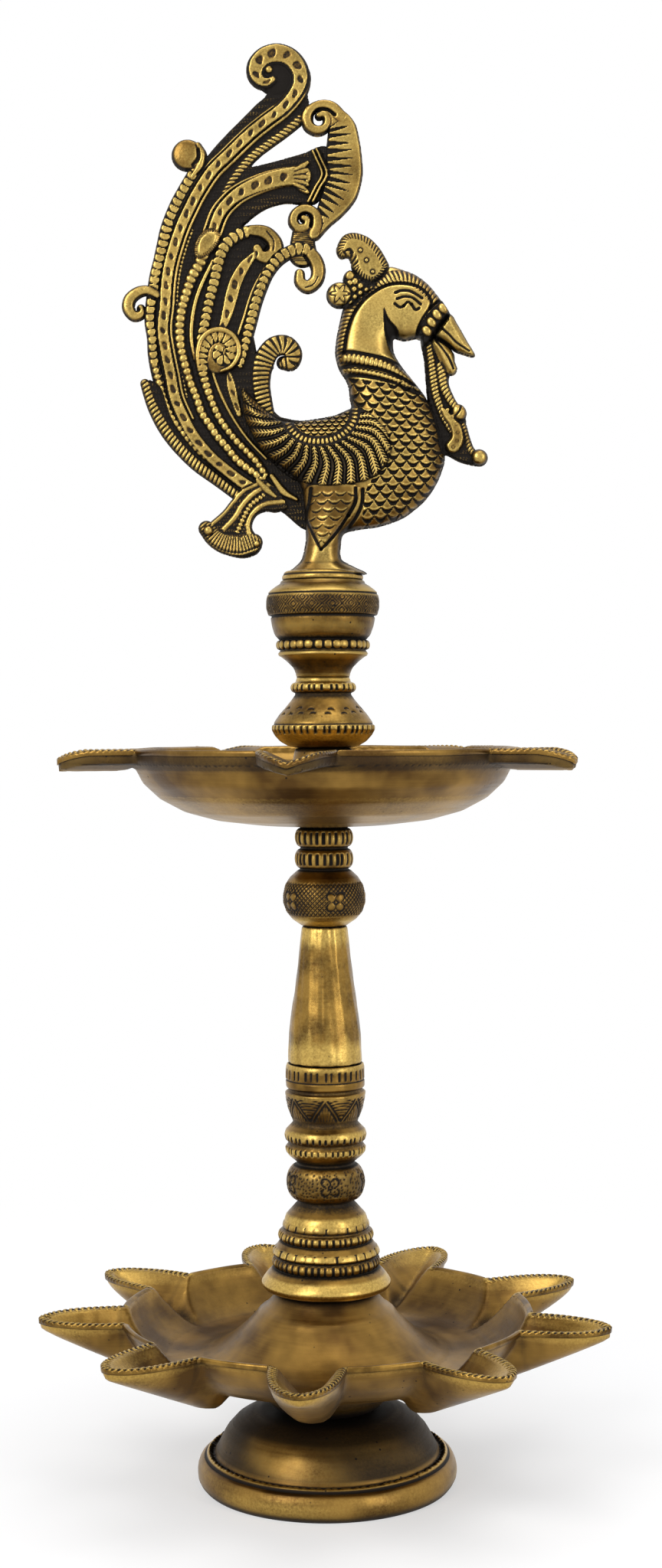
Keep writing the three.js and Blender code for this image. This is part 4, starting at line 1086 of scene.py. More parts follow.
    def mesh(self, edge_share=0.5, round_over=0.9):
        """Both faces over the outline, joined by a slightly rounded wall, with the rim points moved onto
        the outline. The thickness falls to edge_share of itself over the last round_over mm."""
        wall_bulge, wall_dark, wall_worn, thinnest = 0.25, 0.1, 0.45, 0.3
        g = self.grid
        gz, gx = np.gradient(self.edge, g)
        size = np.maximum(np.hypot(gx, gz), 0.3)
        snap = np.abs(self.edge) < 0.5 * g
        shift = np.where(snap, self.edge / size ** 2, 0)
        shift = np.clip(shift, -0.6 * g, 0.6 * g)
        x, z = self.x - gx * shift, self.z - gz * shift
        inside = np.where(snap, 0, self.edge)
        keep = snap | (self.edge > 0)
        over = np.clip(inside / round_over, 0, 1)
        y = np.maximum(self.height, thinnest) * (edge_share + (1 - edge_share) * np.sqrt(1 - (1 - over) ** 2))
        number = np.full(keep.shape, -1)
        number[keep] = np.arange(keep.sum())
        a, b, c, d = number[:-1, :-1], number[:-1, 1:], number[1:, 1:], number[1:, :-1]
        corner = np.stack([a, b, c, d], axis=-1).reshape(-1, 4)
        held = (corner >= 0).sum(axis=1)
        quads = corner[held == 4]
        threes = corner[held == 3]
        threes = threes[threes >= 0].reshape(-1, 3)
        front = [tuple(f) for f in quads] + [tuple(f) for f in threes]
        total = int(keep.sum())
        back = [tuple(i + total for i in f[::-1]) for f in front]
        edges = set()
        for f in front:
            edges.update(zip(f, f[1:] + f[:1]))
        rim = sorted((i, j) for i, j in edges if (j, i) not in edges)
        ridge = {i: 2 * total + k for k, i in enumerate(sorted({i for pair in rim for i in pair}))}
        wall = [(j, i, ridge[i], ridge[j]) for i, j in rim]
        wall += [(ridge[j], ridge[i], i + total, j + total) for i, j in rim]
        used = np.zeros(total, bool)
        used[np.unique(np.concatenate([quads.ravel(), threes.ravel()]))] = True
        place = np.stack([x[keep], -y[keep], z[keep] + DISC], axis=1)
        at = np.array(sorted(ridge))
        outward = np.stack([-gx[keep][at], 0 * at, -gz[keep][at]], axis=1) / size[keep][at][:, None]
        middle = place[at] * [1, 0, 1] + wall_bulge * outward
        points = np.vstack([place, place * [1, -1, 1], middle])
        kept = np.concatenate([used, used, np.ones(len(at), bool)])
        renumber = np.cumsum(kept) - 1
        faces = [tuple(int(renumber[i]) for i in f) for f in front + back + wall]
        dark = np.concatenate([np.tile(self.dark[keep], 2), np.full(len(at), wall_dark)])[kept]
        wear_and_highlight = np.concatenate([np.tile(self.wear_and_highlight[keep], 2), np.full(len(at), wall_worn)])[kept]
        return points[kept], faces, np.clip(dark, 0, 1), np.clip(wear_and_highlight, 0, 1)


def frac(value):
    return value - np.floor(value)


# Looks give how far the surface rises in mm, how dark it is, and how rubbed and highlit. That of a band works
# from the share across (-1 to 1), the mm along and the half-width in mm, that of a patch from its place, the
# mm inside its edge and the mm round it, and that of a dome from two shares across and their distance.

def plain(u, s, w):
    return -0.5 * u ** 2, 0.5 * ease((np.abs(u) - 0.8) / 0.2), 0.85 * (1 - u ** 2)


def groundwork(u, s, w):
    """Flat and nearly black."""
    return 0 * u, 0.9 + 0 * u, 0 * u


def hammered(u, s, w):
    """Flat band between two raised rims, with lens-shaped dents down its middle."""
    step = 5.2
    v = (frac(s / step + 0.06 * np.sin(s * 1.7)) - 0.5) * step
    lens = (v / 1.75) ** 2 + ((u * w - 0.25 * v) / (0.6 * w)) ** 2
    dent = ease((1.1 - lens) / 0.8)
    outside = ease((np.abs(u) - 0.92) / 0.08)
    dark = np.maximum(0.3 * dent, 0.7 * outside)
    return -0.3 * dent - 0.5 * outside - 0.1 * u ** 2, dark, 0.95 - 0.75 * dent


def leafy(pitch):
    """Row of flat-topped shells, with dark triangles between them at the sides."""
    def look(u, s, w):
        v = frac(s / pitch + 0.22 * u ** 2 + 0.07 * np.sin(s * 2.3)) * 2 - 1
        shell = np.abs(u * 1.02) ** 2.6 + np.abs(v * 1.05) ** 2.6
        inside = ease((1.08 - shell) / 0.35)
        ridge = 0.12 * np.exp(-((v - 0.25) / 0.3) ** 2)
        return -0.75 * (1 - inside) + ridge - 0.15 * u ** 2, 0.95 * (1 - inside), inside
    return look


def beaded(pitch, fat=1.0):
    """Row of round beads."""
    def look(u, s, w):
        wave = s / pitch + 0.05 * np.sin(s * 1.9)
        v = (frac(wave) * 2 - 1) * fat
        dome = np.sqrt(np.clip(1 - (u * 1.06) ** 2 - v ** 2 * 0.8, 0, 1))
        return -1.0 * (1 - dome), np.clip(1.25 - 2.4 * dome, 0, 0.95), np.clip(dome * 1.5 - 0.3, 0, 1)
    return look


def roped(pitch, slant=0.35, depth=0.45):
    """Slanting cuts across a band, as on a twisted rope."""
    def look(u, s, w):
        cut = np.cos(math.pi * (s / pitch + slant * u)) ** 6
        outside = ease((np.abs(u) - 0.88) / 0.12)
        dark = np.maximum(0.9 * cut, 0.7 * outside)
        return -depth * cut - 0.5 * u ** 2, dark, 0.75 * (1 - dark) * (1 - 0.4 * u ** 2)
    return look


def even(rise, dark, wear_and_highlight):
    """A patch that is the same all over."""
    return lambda x, z, inside, along: (rise + 0 * x, dark + 0 * x, wear_and_highlight + 0 * x)


def gadroons(u, s, w):
    """Radial cuts of a crescent, wide at its inner edge and run out before its outer one."""
    cell = frac((s - 4) / 2.7 + 0.05 * np.sin(s * 1.3))
    gap = np.abs(cell - 0.5) * 2.7
    taper = np.clip((0.5 - u) / 1.4, 0, 1) * 0.95
    cut = ease((taper + 0.1 - gap) / 0.24) * (u < 0.5) * ease((s - 5) / 1.5)
    inner = ease((-u - 0.9) / 0.1)
    return -0.75 * cut - 0.25 * u ** 2 * (u > 0), np.maximum(0.97 * cut, 0.7 * inner), 0.9 * (1 - cut)


def rays(u, s, w):
    """Comb cuts across a band, and a line along one side."""
    cut = np.cos(math.pi * s / 1.05) ** 6 * ease((u + 0.95) / 0.2)
    arc_line = np.exp(-((u + 0.7) / 0.12) ** 2)
    return -0.45 * cut - 0.3 * arc_line, np.maximum(0.85 * cut, 0.7 * arc_line), 0.8 * (1 - cut)


def leaf_bud(x, z, inside, along):
    """Swollen leaf with short ribs round its edge."""
    rib = np.cos(math.pi * along / 0.8) ** 6
    rise = 0.9 * ease(inside / 2.2) - 0.25 * rib * ease((1.6 - inside) / 0.4)
    dark = 0.75 * rib * ease((1.5 - inside) / 0.4) + 0.5 * ease((0.3 - inside) / 0.3)
    return rise, dark, 0.9 * ease(inside / 1.2)


def flat_leaf(x, z, inside, along):
    return 0.7 * ease(inside / 1.0), 0.55 * ease((0.4 - inside) / 0.3), 0.75 * ease(inside / 0.8)


def keeled(x, z, inside, along):
    """Half of the beak, which rises to its middle."""
    return 1.6 * ease(inside / 2.4), 0 * x, 0.9 + 0 * x


def paisley(x, z, inside, along):
    """Swollen drop with a comb border."""
    hatch = np.cos(math.pi * (along + 0.5 * inside) / 1.35) ** 2
    band = ease((2.7 - inside) / 0.4) * ease((inside - 0.3) / 0.3)
    return 0.9 * ease(inside / 2.4) - 0.35 * hatch * band, 0.85 * hatch * band, 0.8 * (1 - hatch * band)


def thigh_panel(x, z, inside, along):
    return 0.7 * ease(inside / 0.8), 0.1 + 0 * x, 0.3 + 0 * x


def thigh_scales(x, z, inside, along):
    rise, dark, wear_and_highlight = scaled(4.4, 2.75, sag=1.3, thick=0.35)(x, z, inside, along)
    return 0.6 * rise, 0.75 * dark, 0.8 * wear_and_highlight


def throat_shade(x, z, inside, along):
    """Hollow with sloping sides, painted dark all over as shade."""
    return -1.2 * ease(inside / 1.0), 0.85 + 0 * x, 0 * x


# Painted shade: dark all over, for the shade inside a hollow
def coil_shade(u, v, reach):
    return 0 * u, 0.95 + 0 * u, 0 * u


def strap_bead(u, v, reach):
    return 0 * u, 0.6 * ease((reach - 0.8) / 0.2), 0.9 - 0.3 * reach


def punched_ring(u, v, reach):
    ring = reach - 0.62
    return -0.35 * np.exp(-(ring / 0.2) ** 2), 0.9 * np.exp(-(ring / 0.22) ** 2), 0.8 - 0.5 * reach


def ringed_dome(u, v, reach):
    """Round boss with six petals."""
    turn = np.arctan2(v, u)
    petals = np.exp(-((reach - 0.55 - 0.2 * np.cos(6 * turn)) / 0.09) ** 2)
    return -0.25 * petals, np.maximum(0.8 * petals, ease((reach - 0.85) / 0.15)), 0.7 * (1 - petals)


def feathered(u, s, w):
    """A barbed feather: a rib with slanting cuts to both sides and a dark parting at each edge."""
    barb = np.cos(math.pi * (s / 1.15 - 0.75 * np.abs(u) * w)) ** 2 * ease((np.abs(u) - 0.12) / 0.12)
    stem = np.exp(-(u / 0.12) ** 2)
    part = ease((np.abs(u) - 0.74) / 0.14)
    dark = np.maximum(0.95 * barb, part)
    return 0.2 + 0.12 * stem - 0.4 * barb - 0.9 * part - 0.25 * u ** 2, dark, 0.9 * (1 - dark)


def pebbled(pitch=1.05, depth=0.35, base=0.45):
    """Punched ground, nearly black between its dots."""
    def look(x, z, inside, along):
        u, v = (x + 0.5 * z) / pitch, 0.87 * z / pitch
        shift = 0.28 * np.sin(12.9 * np.floor(u) + 78.2 * np.floor(v))
        gap = np.hypot(frac(u) - 0.5 - shift, frac(v) - 0.5 + shift) * 2
        dot = ease((0.85 - gap) / 0.5)
        return 0.3 * dot * depth / 0.35, 1 - base * dot, 0.18 * dot
    return look


def scaled(width, row, sag=1.5, thick=1.3, slope=(0, 0, 1, 0)):
    """Overlapping scales with a deep crescent cut under each lower edge. The rows slope down to the
    right by the second value of slope at the height of the first, and so on."""
    def look(x, z, inside, along):
        down = -(z + np.interp(z, slope[::2], slope[1::2]) * x)
        cuts, edges = np.zeros_like(x), np.zeros_like(x)
        for k in (np.floor(down / row), np.floor(down / row) - 1):
            place = x / width - 0.5 * (k % 2) + 0.04 * np.sin(7.3 * k)
            t = 2 * (place - np.round(place))
            below = down - k * row - sag * (1 - np.abs(t) ** 2.3)
            cut = ease((below + 0.1) / 0.22) * ease((thick * (1 - t ** 2) + 0.2 - below) / 0.28)
            cuts = np.maximum(cuts, cut)
            edges = np.maximum(edges, np.exp(-((below + 0.4) / 0.42) ** 2))
        return 0.4 * edges - 0.8 * cuts, 0.95 * cuts, (0.45 + 0.5 * edges) * (1 - cuts)
    return look


def spread(line, offset):
    """The points of a line moved sideways by some squares, positive to the right of its direction."""
    p = np.asarray(line, float)
    t = np.gradient(p, axis=0)
    t /= np.hypot(t[:, 0], t[:, 1])[:, None]
    return p + np.stack([-t[:, 1], t[:, 0]], axis=1) * offset


TALL = [(345, 645), (320, 630), (300, 615), (280, 598), (260, 575), (245, 550), (232, 520), (226, 490),
        (220, 460), (216, 430), (219, 400), (221, 370), (225, 345), (232, 320), (240, 297), (250, 275),
        (262, 252), (280, 225), (300, 205), (328, 178), (350, 160), (370, 145), (384, 130), (393, 115),
        (395, 101), (390, 87), (379, 76), (364, 72), (349, 76), (339, 86), (337, 98), (342, 107), (351, 110),
        (359, 106)]
TALL_HALF = [6] * 22 + [6.2, 6.8, 7.6, 8.4, 9, 9.4, 9.2, 8.4, 7, 5.4, 4, 2.6]
STRIP = [(280, 306), (290, 280), (305, 262), (322, 250), (345, 240), (366, 234), (386, 231), (398, 231)]
CRESCENT = [(430, 146), (441, 154), (449, 168), (451, 192), (452, 225), (447, 250), (436, 270), (424, 288),
            (414, 306)]


def lay_ground(sheet):
    """Openwork ground that carries the plumes, and the rope between it and the tall strip."""
    sheet.area([(250, 225), (236, 262), (221, 300), (211, 340), (204, 380), (201, 420), (204, 470),
                (213, 510), (226, 545), (245, 575), (270, 602), (300, 628), (318, 642), (345, 655),
                (372, 668), (400, 690), (425, 690), (440, 600), (400, 570), (385, 551), (370, 545),
                (359, 535), (351, 520), (346, 500), (341, 480), (335, 448), (332, 430), (333, 410),
                (337, 392), (345, 370), (357, 345), (368, 330), (364, 318), (355, 306), (340, 300),
                (318, 300), (325, 290), (340, 278), (355, 270), (375, 265), (392, 266), (412, 266),
                (424, 255), (440, 230), (436, 200), (424, 191), (400, 200), (380, 206), (350, 214),
                (331, 217), (345, 202), (370, 182), (397, 162), (406, 148), (402, 120), (385, 90),
                (360, 84), (346, 98), (352, 122), (338, 137), (320, 155), (300, 175), (280, 197), (262, 220)],
               1.15, pebbled())
    sheet.stroke([(405, 148), (378, 171), (352, 190), (330, 207), (312, 228), (298, 250), (284, 275),
                  (272, 300), (262, 330)], [5, 4.5, 4.5, 4.5, 4, 3.5, 3, 3, 2.5], 1.9, roped(1.7, 0.5))


def raise_outer_plume(sheet):
    """The plume down the outer edge, with a knob at its end."""
    outer = [(262, 208), (258, 222), (246, 245), (236, 264), (228, 282), (221, 300), (216, 320), (211, 340),
             (206, 360), (203, 380), (200, 400), (199, 420), (202, 440), (203, 460), (206, 480), (211, 500),
             (219, 525), (228, 545), (240, 562), (252, 578), (267, 593), (282, 605), (302, 620), (318, 634)]
    sheet.stroke(outer, [3, 6, 7, 7.5, 7.5, 7, 6.5, 6, 6, 6, 5.5] + [5.5] * 5 + [4.6] * 8, 2.5, leafy(2.6))
    sheet.stroke(outer[14:], 4.4, 2.6, beaded(2.2))
    sheet.dome((248, 203), 20, 2.0, 1.7)
    sheet.stroke([(262, 190), (268, 203), (264, 218), (254, 232)], [3, 4, 4, 2], 3.0, plain)
    sheet.engrave([(262, 197), (262, 208), (255, 218)], 1.6, 0.9)


def raise_tall_plume(sheet):
    """The rope-edged plume, and the tall hammered strip over it with a thin ridge at each side."""
    sheet.area([(192, 498), (212, 506), (226, 545), (245, 575), (270, 602), (300, 628), (320, 642),
                (300, 641), (262, 612), (226, 575), (203, 540)], 1.2, pebbled())
    sheet.stroke([(192, 500), (197, 516), (203, 532), (212, 550), (224, 569), (240, 588), (261, 608),
                  (289, 628), (314, 648)], [4.5, 5, 5.5, 6, 6, 6, 6, 6, 5], 2.3, roped(1.55, 0.3, 0.6))
    sheet.stroke(spread(TALL[5:26], 10.5), 1.9, 2.4, plain)
    sheet.stroke(spread(TALL[6:15], 15), 1.8, 2.0, beaded(1.5))
    sheet.stroke(spread(TALL[14:24], -10), 1.6, 1.9, plain)
    # Painted shade: a low dark disc inside the coil stands for the shade in its hollow
    sheet.dome((364, 98), 27, 1.0, 0.7, coil_shade)
    sheet.stroke(TALL[21:], [n + 2.2 for n in TALL_HALF[21:]], 2.3, groundwork)
    sheet.stroke(TALL, TALL_HALF, 3.05, hammered)
    sheet.dome((354, 93), 5, 2.0, 0.9)


def raise_shell_strip(sheet):
    """Hammered strip between two ridges, with a ribbed shell at its end."""
    sheet.stroke(spread(STRIP, 11), 1.7, 2.3, plain)
    sheet.stroke(spread(STRIP, -11.5), 1.7, 2.3, plain)
    sheet.stroke(STRIP, [5.5, 6, 6.5, 7.5, 8.5, 9, 9.5, 9.5], 2.9, hammered)
    for y in (219, 226, 233, 240, 247):
        sheet.stroke([(389, y + (233 - y) * 0.3), (397, y), (404, y + (y - 233) * 0.35)],
                     [2.6, 3.8, 2.4], 3.0, plain)
        sheet.engrave([(388, y + 3.4 + (230 - y) * 0.3), (402, y + 3.4)], 0.9, 0.5)


def raise_crescent(sheet):
    """Crescent with radial cuts, its double line and curl, and the neck and curl that carry it."""
    sheet.stroke(CRESCENT, [9, 11, 15, 18, 19.5, 18.5, 15, 10, 6], 2.7, gadroons)
    for shift in (0, 6):
        sheet.stroke([(408 + shift, 192), (415 + shift, 207), (423 + shift, 228), (414 + shift, 246),
                      (405 + shift, 264)], 1.7, 2.6, plain, solid=False)
        sheet.engrave([(412 + shift, 193), (419 + shift, 208), (426.6 + shift, 228), (418 + shift, 247),
                       (409 + shift, 265)], 1.4, 0.7)
    sheet.stroke([(446, 152), (436, 142), (424, 139), (411, 143), (404, 153), (406, 165), (416, 171),
                  (426, 168), (430, 159), (426, 151), (419, 152)], [7, 7, 6.5, 6, 6, 6, 5.5, 5, 4.5, 4, 4],
                  2.9, plain)
    sheet.engrave([(440, 152), (430, 145), (418, 145), (411, 154), (415, 163), (423, 162), (424, 156)],
                  1.5, 1.5)
    sheet.stroke([(398, 330), (398, 318), (399, 306)], [15, 13, 12], 2.2, roped(0.75, 0.0, 0.3))
    sheet.stroke([(413, 306), (417, 292), (412, 278), (400, 273), (389, 279), (386, 290), (393, 298),
                  (402, 296), (404, 288), (399, 285)], [6, 6, 6, 5.5, 5.5, 5.5, 5, 4.5, 4.5, 4], 2.8, plain)
    sheet.engrave([(408, 296), (410, 284), (402, 279), (394, 283), (394, 290), (399, 291)], 1.2, 1.2)


def raise_outer_curl(sheet):
    """Small curl that stands off the outer edge."""
    sheet.stroke([(207, 384), (197, 379), (184, 381), (173, 390), (171, 402), (178, 412), (187, 410),
                  (187, 402)], [5, 5, 6, 6.5, 6.5, 5.5, 5, 4], 2.3, plain)
    sheet.engrave([(206, 391), (196, 387), (185, 391), (181, 400), (185, 405)], 1.8, 1.2)


def raise_bud_plume(sheet):
    """Beaded plume that ends in a leaf bud, and the thin ridge beside it."""
    bud = [(270, 330), (264, 345), (254, 362), (247, 382), (241, 402), (238, 422), (238, 440), (240, 457),
           (245, 477), (252, 500), (260, 520), (267, 540), (277, 555), (287, 570), (300, 585), (312, 600),
           (327, 612), (345, 624)]
    sheet.stroke(bud, [7, 7, 6.5, 6, 6, 6, 6, 5.5, 5.5] + [5] * 9, 2.85, beaded(2.35, 0.95))
    sheet.area([(283, 300), (290, 306), (289, 318), (280, 330), (268, 338), (258, 336), (257, 322),
                (262, 309), (272, 301)], 2.6, leaf_bud)
    sheet.stroke([(281, 342), (268, 368), (259, 392), (254, 418), (253, 442), (258, 468)], 2.6, 2.5, plain)


def raise_inner_plumes(sheet):
    """Hooked plume, long leaf, and the plume nearest the bird's neck."""
    hook = [(266, 446), (270, 425), (274, 405), (278, 387), (283, 368), (287, 350), (292, 332), (301, 317),
            (317, 306), (335, 302), (350, 305), (361, 316), (363, 328), (354, 336), (343, 334), (339, 326)]
    sheet.stroke(hook, [6, 6, 6, 6, 6, 6, 6.5, 7, 7, 7, 8, 7.5, 7, 6.5, 5.5, 5], 2.8, leafy(2.5))
    sheet.stroke(hook[9:], [7, 8, 8, 7.5, 7, 6.5, 5], 3.0, plain)
    sheet.engrave([(330, 309), (344, 312), (352, 320), (348, 328)], 1.5, 1.0)
    sheet.engrave([(351, 303), (360, 315), (360, 328)], 0.8, 0.4)
    sheet.stroke([(336, 332), (322, 348), (311, 368), (305, 388), (300, 408), (293, 430)],
                 [3, 6, 7, 7, 6, 4], 2.3, hammered)
    sheet.stroke([(349, 350), (336, 372), (328, 392), (322, 412), (314, 436)], 1.8, 2.1, plain)
    neck = [(317, 476), (322, 455), (327, 434), (332, 415), (337, 396), (344, 376), (353, 356), (366, 339),
            (383, 328), (399, 326), (412, 336), (418, 350), (416, 365), (405, 374), (395, 368), (394, 357)]
    sheet.stroke(neck, [4, 5, 6, 6, 6, 6, 6, 6.5, 7, 7, 7.5, 7.5, 7, 7, 6, 5], 2.75, leafy(2.45))
    sheet.stroke(neck[10:], [7.5, 7.5, 7, 7, 6, 5], 2.9, plain)
    sheet.engrave([(399, 333), (406, 343), (408, 355), (403, 363)], 1.5, 1.1)
    sheet.engrave([(402, 376), (412, 372), (418, 362)], 0.8, 0.5)
    sheet.stroke([(301, 484), (304, 500), (308, 516), (315, 540)], [2, 4.5, 4.5, 3], 2.0, hammered)
    sheet.stroke([(279, 480), (286, 502), (296, 525), (310, 550), (328, 575), (350, 598)], 1.9, 2.2, plain)


def raise_ribbed_curl(sheet):
    """Rope-ribbed curl by the bird's back."""
    sheet.stroke([(352, 545), (347, 525), (344, 503), (345, 482), (351, 466), (362, 454), (375, 452),
                  (384, 461), (382, 472), (373, 473)], [8, 9, 9, 10, 12, 12.5, 12, 10.5, 9, 7], 2.5,
                  roped(1.65, 0.25, 0.65))
    sheet.engrave([(366, 480), (368, 470), (374, 464)], 1.5, 1.2)


def raise_scroll(sheet):
    """Large scroll: a row of beads that rises and winds in, inside a plain rim."""
    coil = [(348, 618), (338, 603), (326, 590), (311, 575), (299, 560), (289, 545), (280, 525), (273, 505),
            (268, 485), (266, 467), (269, 452), (278, 442), (290, 439), (301, 444), (306, 456), (303, 467),
            (294, 471), (287, 465), (289, 457)]
    sheet.dome((290, 459), 29, 2.0, 0.9)
    sheet.stroke(coil[:10], [4.5] * 7 + [5.5, 6, 6.5], 2.9, beaded(2.25))
    sheet.stroke(coil[8:], [6, 7, 7.5, 7.5, 7.5, 7.5, 7, 6.5, 6, 5.5, 5], 3.1, leafy(2.2))
    sheet.stroke([(262, 480), (261, 462), (266, 444), (278, 433), (292, 431), (306, 437), (314, 450),
                  (314, 465), (305, 479), (292, 485)], [1.5, 2.5, 3, 3, 3, 3, 3, 3, 2.5, 1.5], 3.5, plain)


def raise_fan_foot(sheet):
    """The spread end of the lowest plume, with a ball at its corner."""
    sheet.area([(352, 628), (330, 634), (312, 646), (307, 656), (299, 668), (284, 679), (269, 685),
                (266, 694), (271, 704), (279, 713), (292, 721), (306, 726), (322, 728), (337, 723),
                (344, 713), (342, 704), (335, 697), (331, 688), (334, 677), (341, 670), (352, 667),
                (364, 668), (378, 660)], 2.0, pebbled(0.9, 0.3, 0.6))
    for line, half in (([(352, 634), (333, 645), (319, 660), (309, 676), (296, 690)], 3),
                       ([(345, 630), (322, 640), (308, 655), (296, 670), (280, 684)], 2.6),
                       ([(372, 655), (350, 658), (335, 668), (327, 682), (328, 698)], 3)):
        sheet.stroke(line, half, 2.5, plain)
    sheet.stroke([(345, 648), (330, 660), (321, 676), (314, 692)], 3.6, 2.5, beaded(1.5))
    sheet.stroke([(272, 690), (283, 703), (298, 711), (316, 713), (334, 708)], [8, 9, 10, 10, 9], 2.4, rays)
    sheet.dome((275, 693), 6, 2.2, 1.2)
    sheet.dome((338, 710), 4, 2.2, 0.8)
    for line in ([(340, 628), (352, 640), (362, 648)], [(358, 622), (373, 642), (390, 652)]):
        sheet.stroke(line, [3, 4, 2], 2.8, plain, solid=False)


def make_tail():
    """The tail, with later work laid over earlier."""
    sheet = Sheet(-72, 19, 6, 189, GRID, fullness=1.2)
    for work in (lay_ground, raise_outer_plume, raise_tall_plume, raise_shell_strip, raise_crescent,
                 raise_outer_curl, raise_bud_plume, raise_inner_plumes, raise_ribbed_curl, raise_scroll,
                 raise_fan_foot):
        work(sheet)
    sheet.height += 0.04 * sheet.noise
    sheet.dark += 0.1
    sheet.wear_and_highlight *= 0.75
    sheet.weather()
    show("bird_tail", sheet.mesh(), "bird", CHASED, ["peacock"])


def raise_body(sheet):
    """Round form of head, neck, breast, leg and foot."""
    outline = [(451, 403), (447, 420), (443, 440), (441, 460), (444, 476), (449, 487), (455, 496),
               (459, 508), (460, 520), (462, 531), (455, 537), (440, 543), (420, 548), (400, 551),
               (384, 552), (366, 548), (350, 537), (335, 523), (320, 509), (319, 520), (321, 541),
               (330, 563), (343, 586), (361, 603), (381, 618), (394, 632), (400, 660), (401, 680),
               (403, 700), (401, 716), (397, 731), (388, 741), (377, 750), (378, 758), (480, 758),
               (481, 749), (470, 743), (458, 737), (448, 730), (447, 714), (451, 697), (470, 691),
               (492, 688), (511, 683), (530, 675), (545, 664), (558, 652), (570, 635), (579, 615),
               (583, 595), (576, 560), (560, 522), (540, 495), (528, 480), (518, 464), (515, 450),
               (517, 441), (530, 444), (548, 441), (560, 444), (575, 440), (594, 421), (586, 404),
               (575, 388), (561, 371), (545, 359), (530, 353), (510, 348), (490, 356), (470, 372), (458, 387)]
    sheet.area(outline, 5.0, even(0, 0.25, 0.2))
    # How thick each level is at its middle, and how far in from the outline it gets there
    level = sheet.z
    depth = np.interp(level, [1, 6, 12, 17, 24, 33, 46, 56, 64, 76, 88, 98, 108],
                      [9.4, 7, 6.6, 8, 10, 11, 11, 10.2, 9, 8, 7.6, 7.6, 5.5])
    reach = np.interp(level, [1, 6, 15, 28, 44, 60, 72, 80, 92, 104], [3, 5, 7, 17, 20, 14, 9.5, 9, 8.5, 9])
    share = np.clip(sheet.edge / reach, 0, 1)
    sheet.height = np.where(sheet.edge > 0, 1.4 + (depth - 1.4) * np.sqrt(1 - (1 - share) ** 2), 0)
    # The head and neck above 66 mm are made brighter than the body below them
    sheet.dark[:], sheet.wear_and_highlight[:] = 0.1, np.where(level > 66, 0.95, 0.5)


def chase_scales(sheet):
    """Scales of neck and breast."""
    sheet.on_top(sheet.area, [
        (447, 490), (462, 496), (500, 503), (545, 503), (568, 530), (590, 590), (585, 620), (560, 660),
        (520, 688), (478, 698), (477, 668), (481, 642), (494, 620), (507, 600), (508, 575),
        (500, 555), (482, 540), (463, 530)],
        0.0, scaled(4.5, 2.95, slope=(18, -0.12, 40, 0, 60, 0.16, 74, 0.25)))


def raise_thigh(sheet):
    """Thigh in front of the body, with flat scales inside a V."""
    sheet.on_top(sheet.area, [(404, 636), (468, 636), (466, 660), (456, 676), (440, 698), (422, 720),
                              (410, 698), (402, 676)], 0.0, thigh_panel)
    sheet.on_top(sheet.area, [(411, 644), (463, 644), (460, 660), (452, 673), (438, 694), (422, 714),
                              (412, 696), (406, 674)], 0.0, thigh_scales)


def raise_collars(sheet):
    """Two beaded collars between cut lines."""
    sheet.on_top(sheet.stroke, [(443, 471), (460, 471), (482, 475), (500, 479), (517, 485), (538, 496)],
                 [5.5, 6.5, 7, 7, 6.5, 5], 1.0, beaded(1.6, 0.9))
    sheet.on_top(sheet.stroke, [(449, 486), (466, 487), (484, 490), (506, 495), (528, 502), (548, 510)],
                 3.6, 0.8, beaded(1.5, 0.9))
    for cut in ([(443, 462), (460, 462), (482, 466), (502, 470), (518, 475), (532, 484)],
                [(446, 481), (462, 480), (484, 483), (508, 488), (532, 498), (544, 505)],
                [(452, 492), (466, 493), (486, 496), (508, 501), (528, 508), (548, 517)]):
        sheet.engrave(cut, 1.5, 0.9)


def raise_hood(sheet):
    """Comb band from the nape over the head to the beak."""
    sheet.on_top(sheet.stroke, [
        (442, 470), (446, 452), (449, 436), (453, 420), (461, 404), (474, 388), (490, 375), (507, 367),
        (526, 364), (543, 368), (557, 378), (570, 392), (581, 408)],
        [6, 6, 6, 6.5, 7, 8, 8.5, 9, 9.5, 9.5, 9, 9, 8], 0.6, roped(1.5, 0.45, 0.5))
    sheet.engrave([(452, 463), (455, 441), (462, 418), (474, 399), (490, 385), (507, 376), (525, 373),
                   (545, 376), (558, 385), (565, 397), (563, 406)], 1.8, 1.1)


def cut_face(sheet):
    """The deep wedge under the jaw, painted dark as shade, the brows and the eye."""
    sheet.on_top(sheet.area, [(503, 405), (510, 419), (519, 429), (523, 439), (518, 450), (520, 463),
                              (513, 462), (507, 448), (503, 428)], 0.0, throat_shade)
    for cut, wide in (([(518, 386), (526, 383), (538, 384), (553, 393)], 1.9),
                      ([(520, 394), (530, 391), (541, 393), (551, 401)], 1.7),
                      ([(517, 400), (524, 405), (529, 403)], 1.6),
                      ([(529, 403), (534, 398), (539, 401)], 1.3),
                      ([(539, 401), (544, 408), (549, 406)], 1.6)):
        sheet.engrave(cut, wide, 0.9)


def raise_strap(sheet):
    """Strap across the root of the beak, with four large beads."""
    strap = [(583, 402), (574, 411), (566, 421), (559, 432), (554, 443)]
    sheet.stroke(strap, [8.5, 9, 9.5, 9, 8], 5.9, groundwork, solid=False)
    for x, y in ((580, 406), (572, 414), (565, 424), (559, 435)):
        sheet.dome((x, y), 5.8, 6.2, 1.2, strap_bead, tall=1.35, tilt=40, solid=False)
    for cut in ([(575, 395), (565, 404), (555, 417), (549, 430), (547, 441)],
                [(589, 410), (581, 418), (573, 428), (566, 441)]):
        sheet.engrave(cut, 1.6, 1.4)


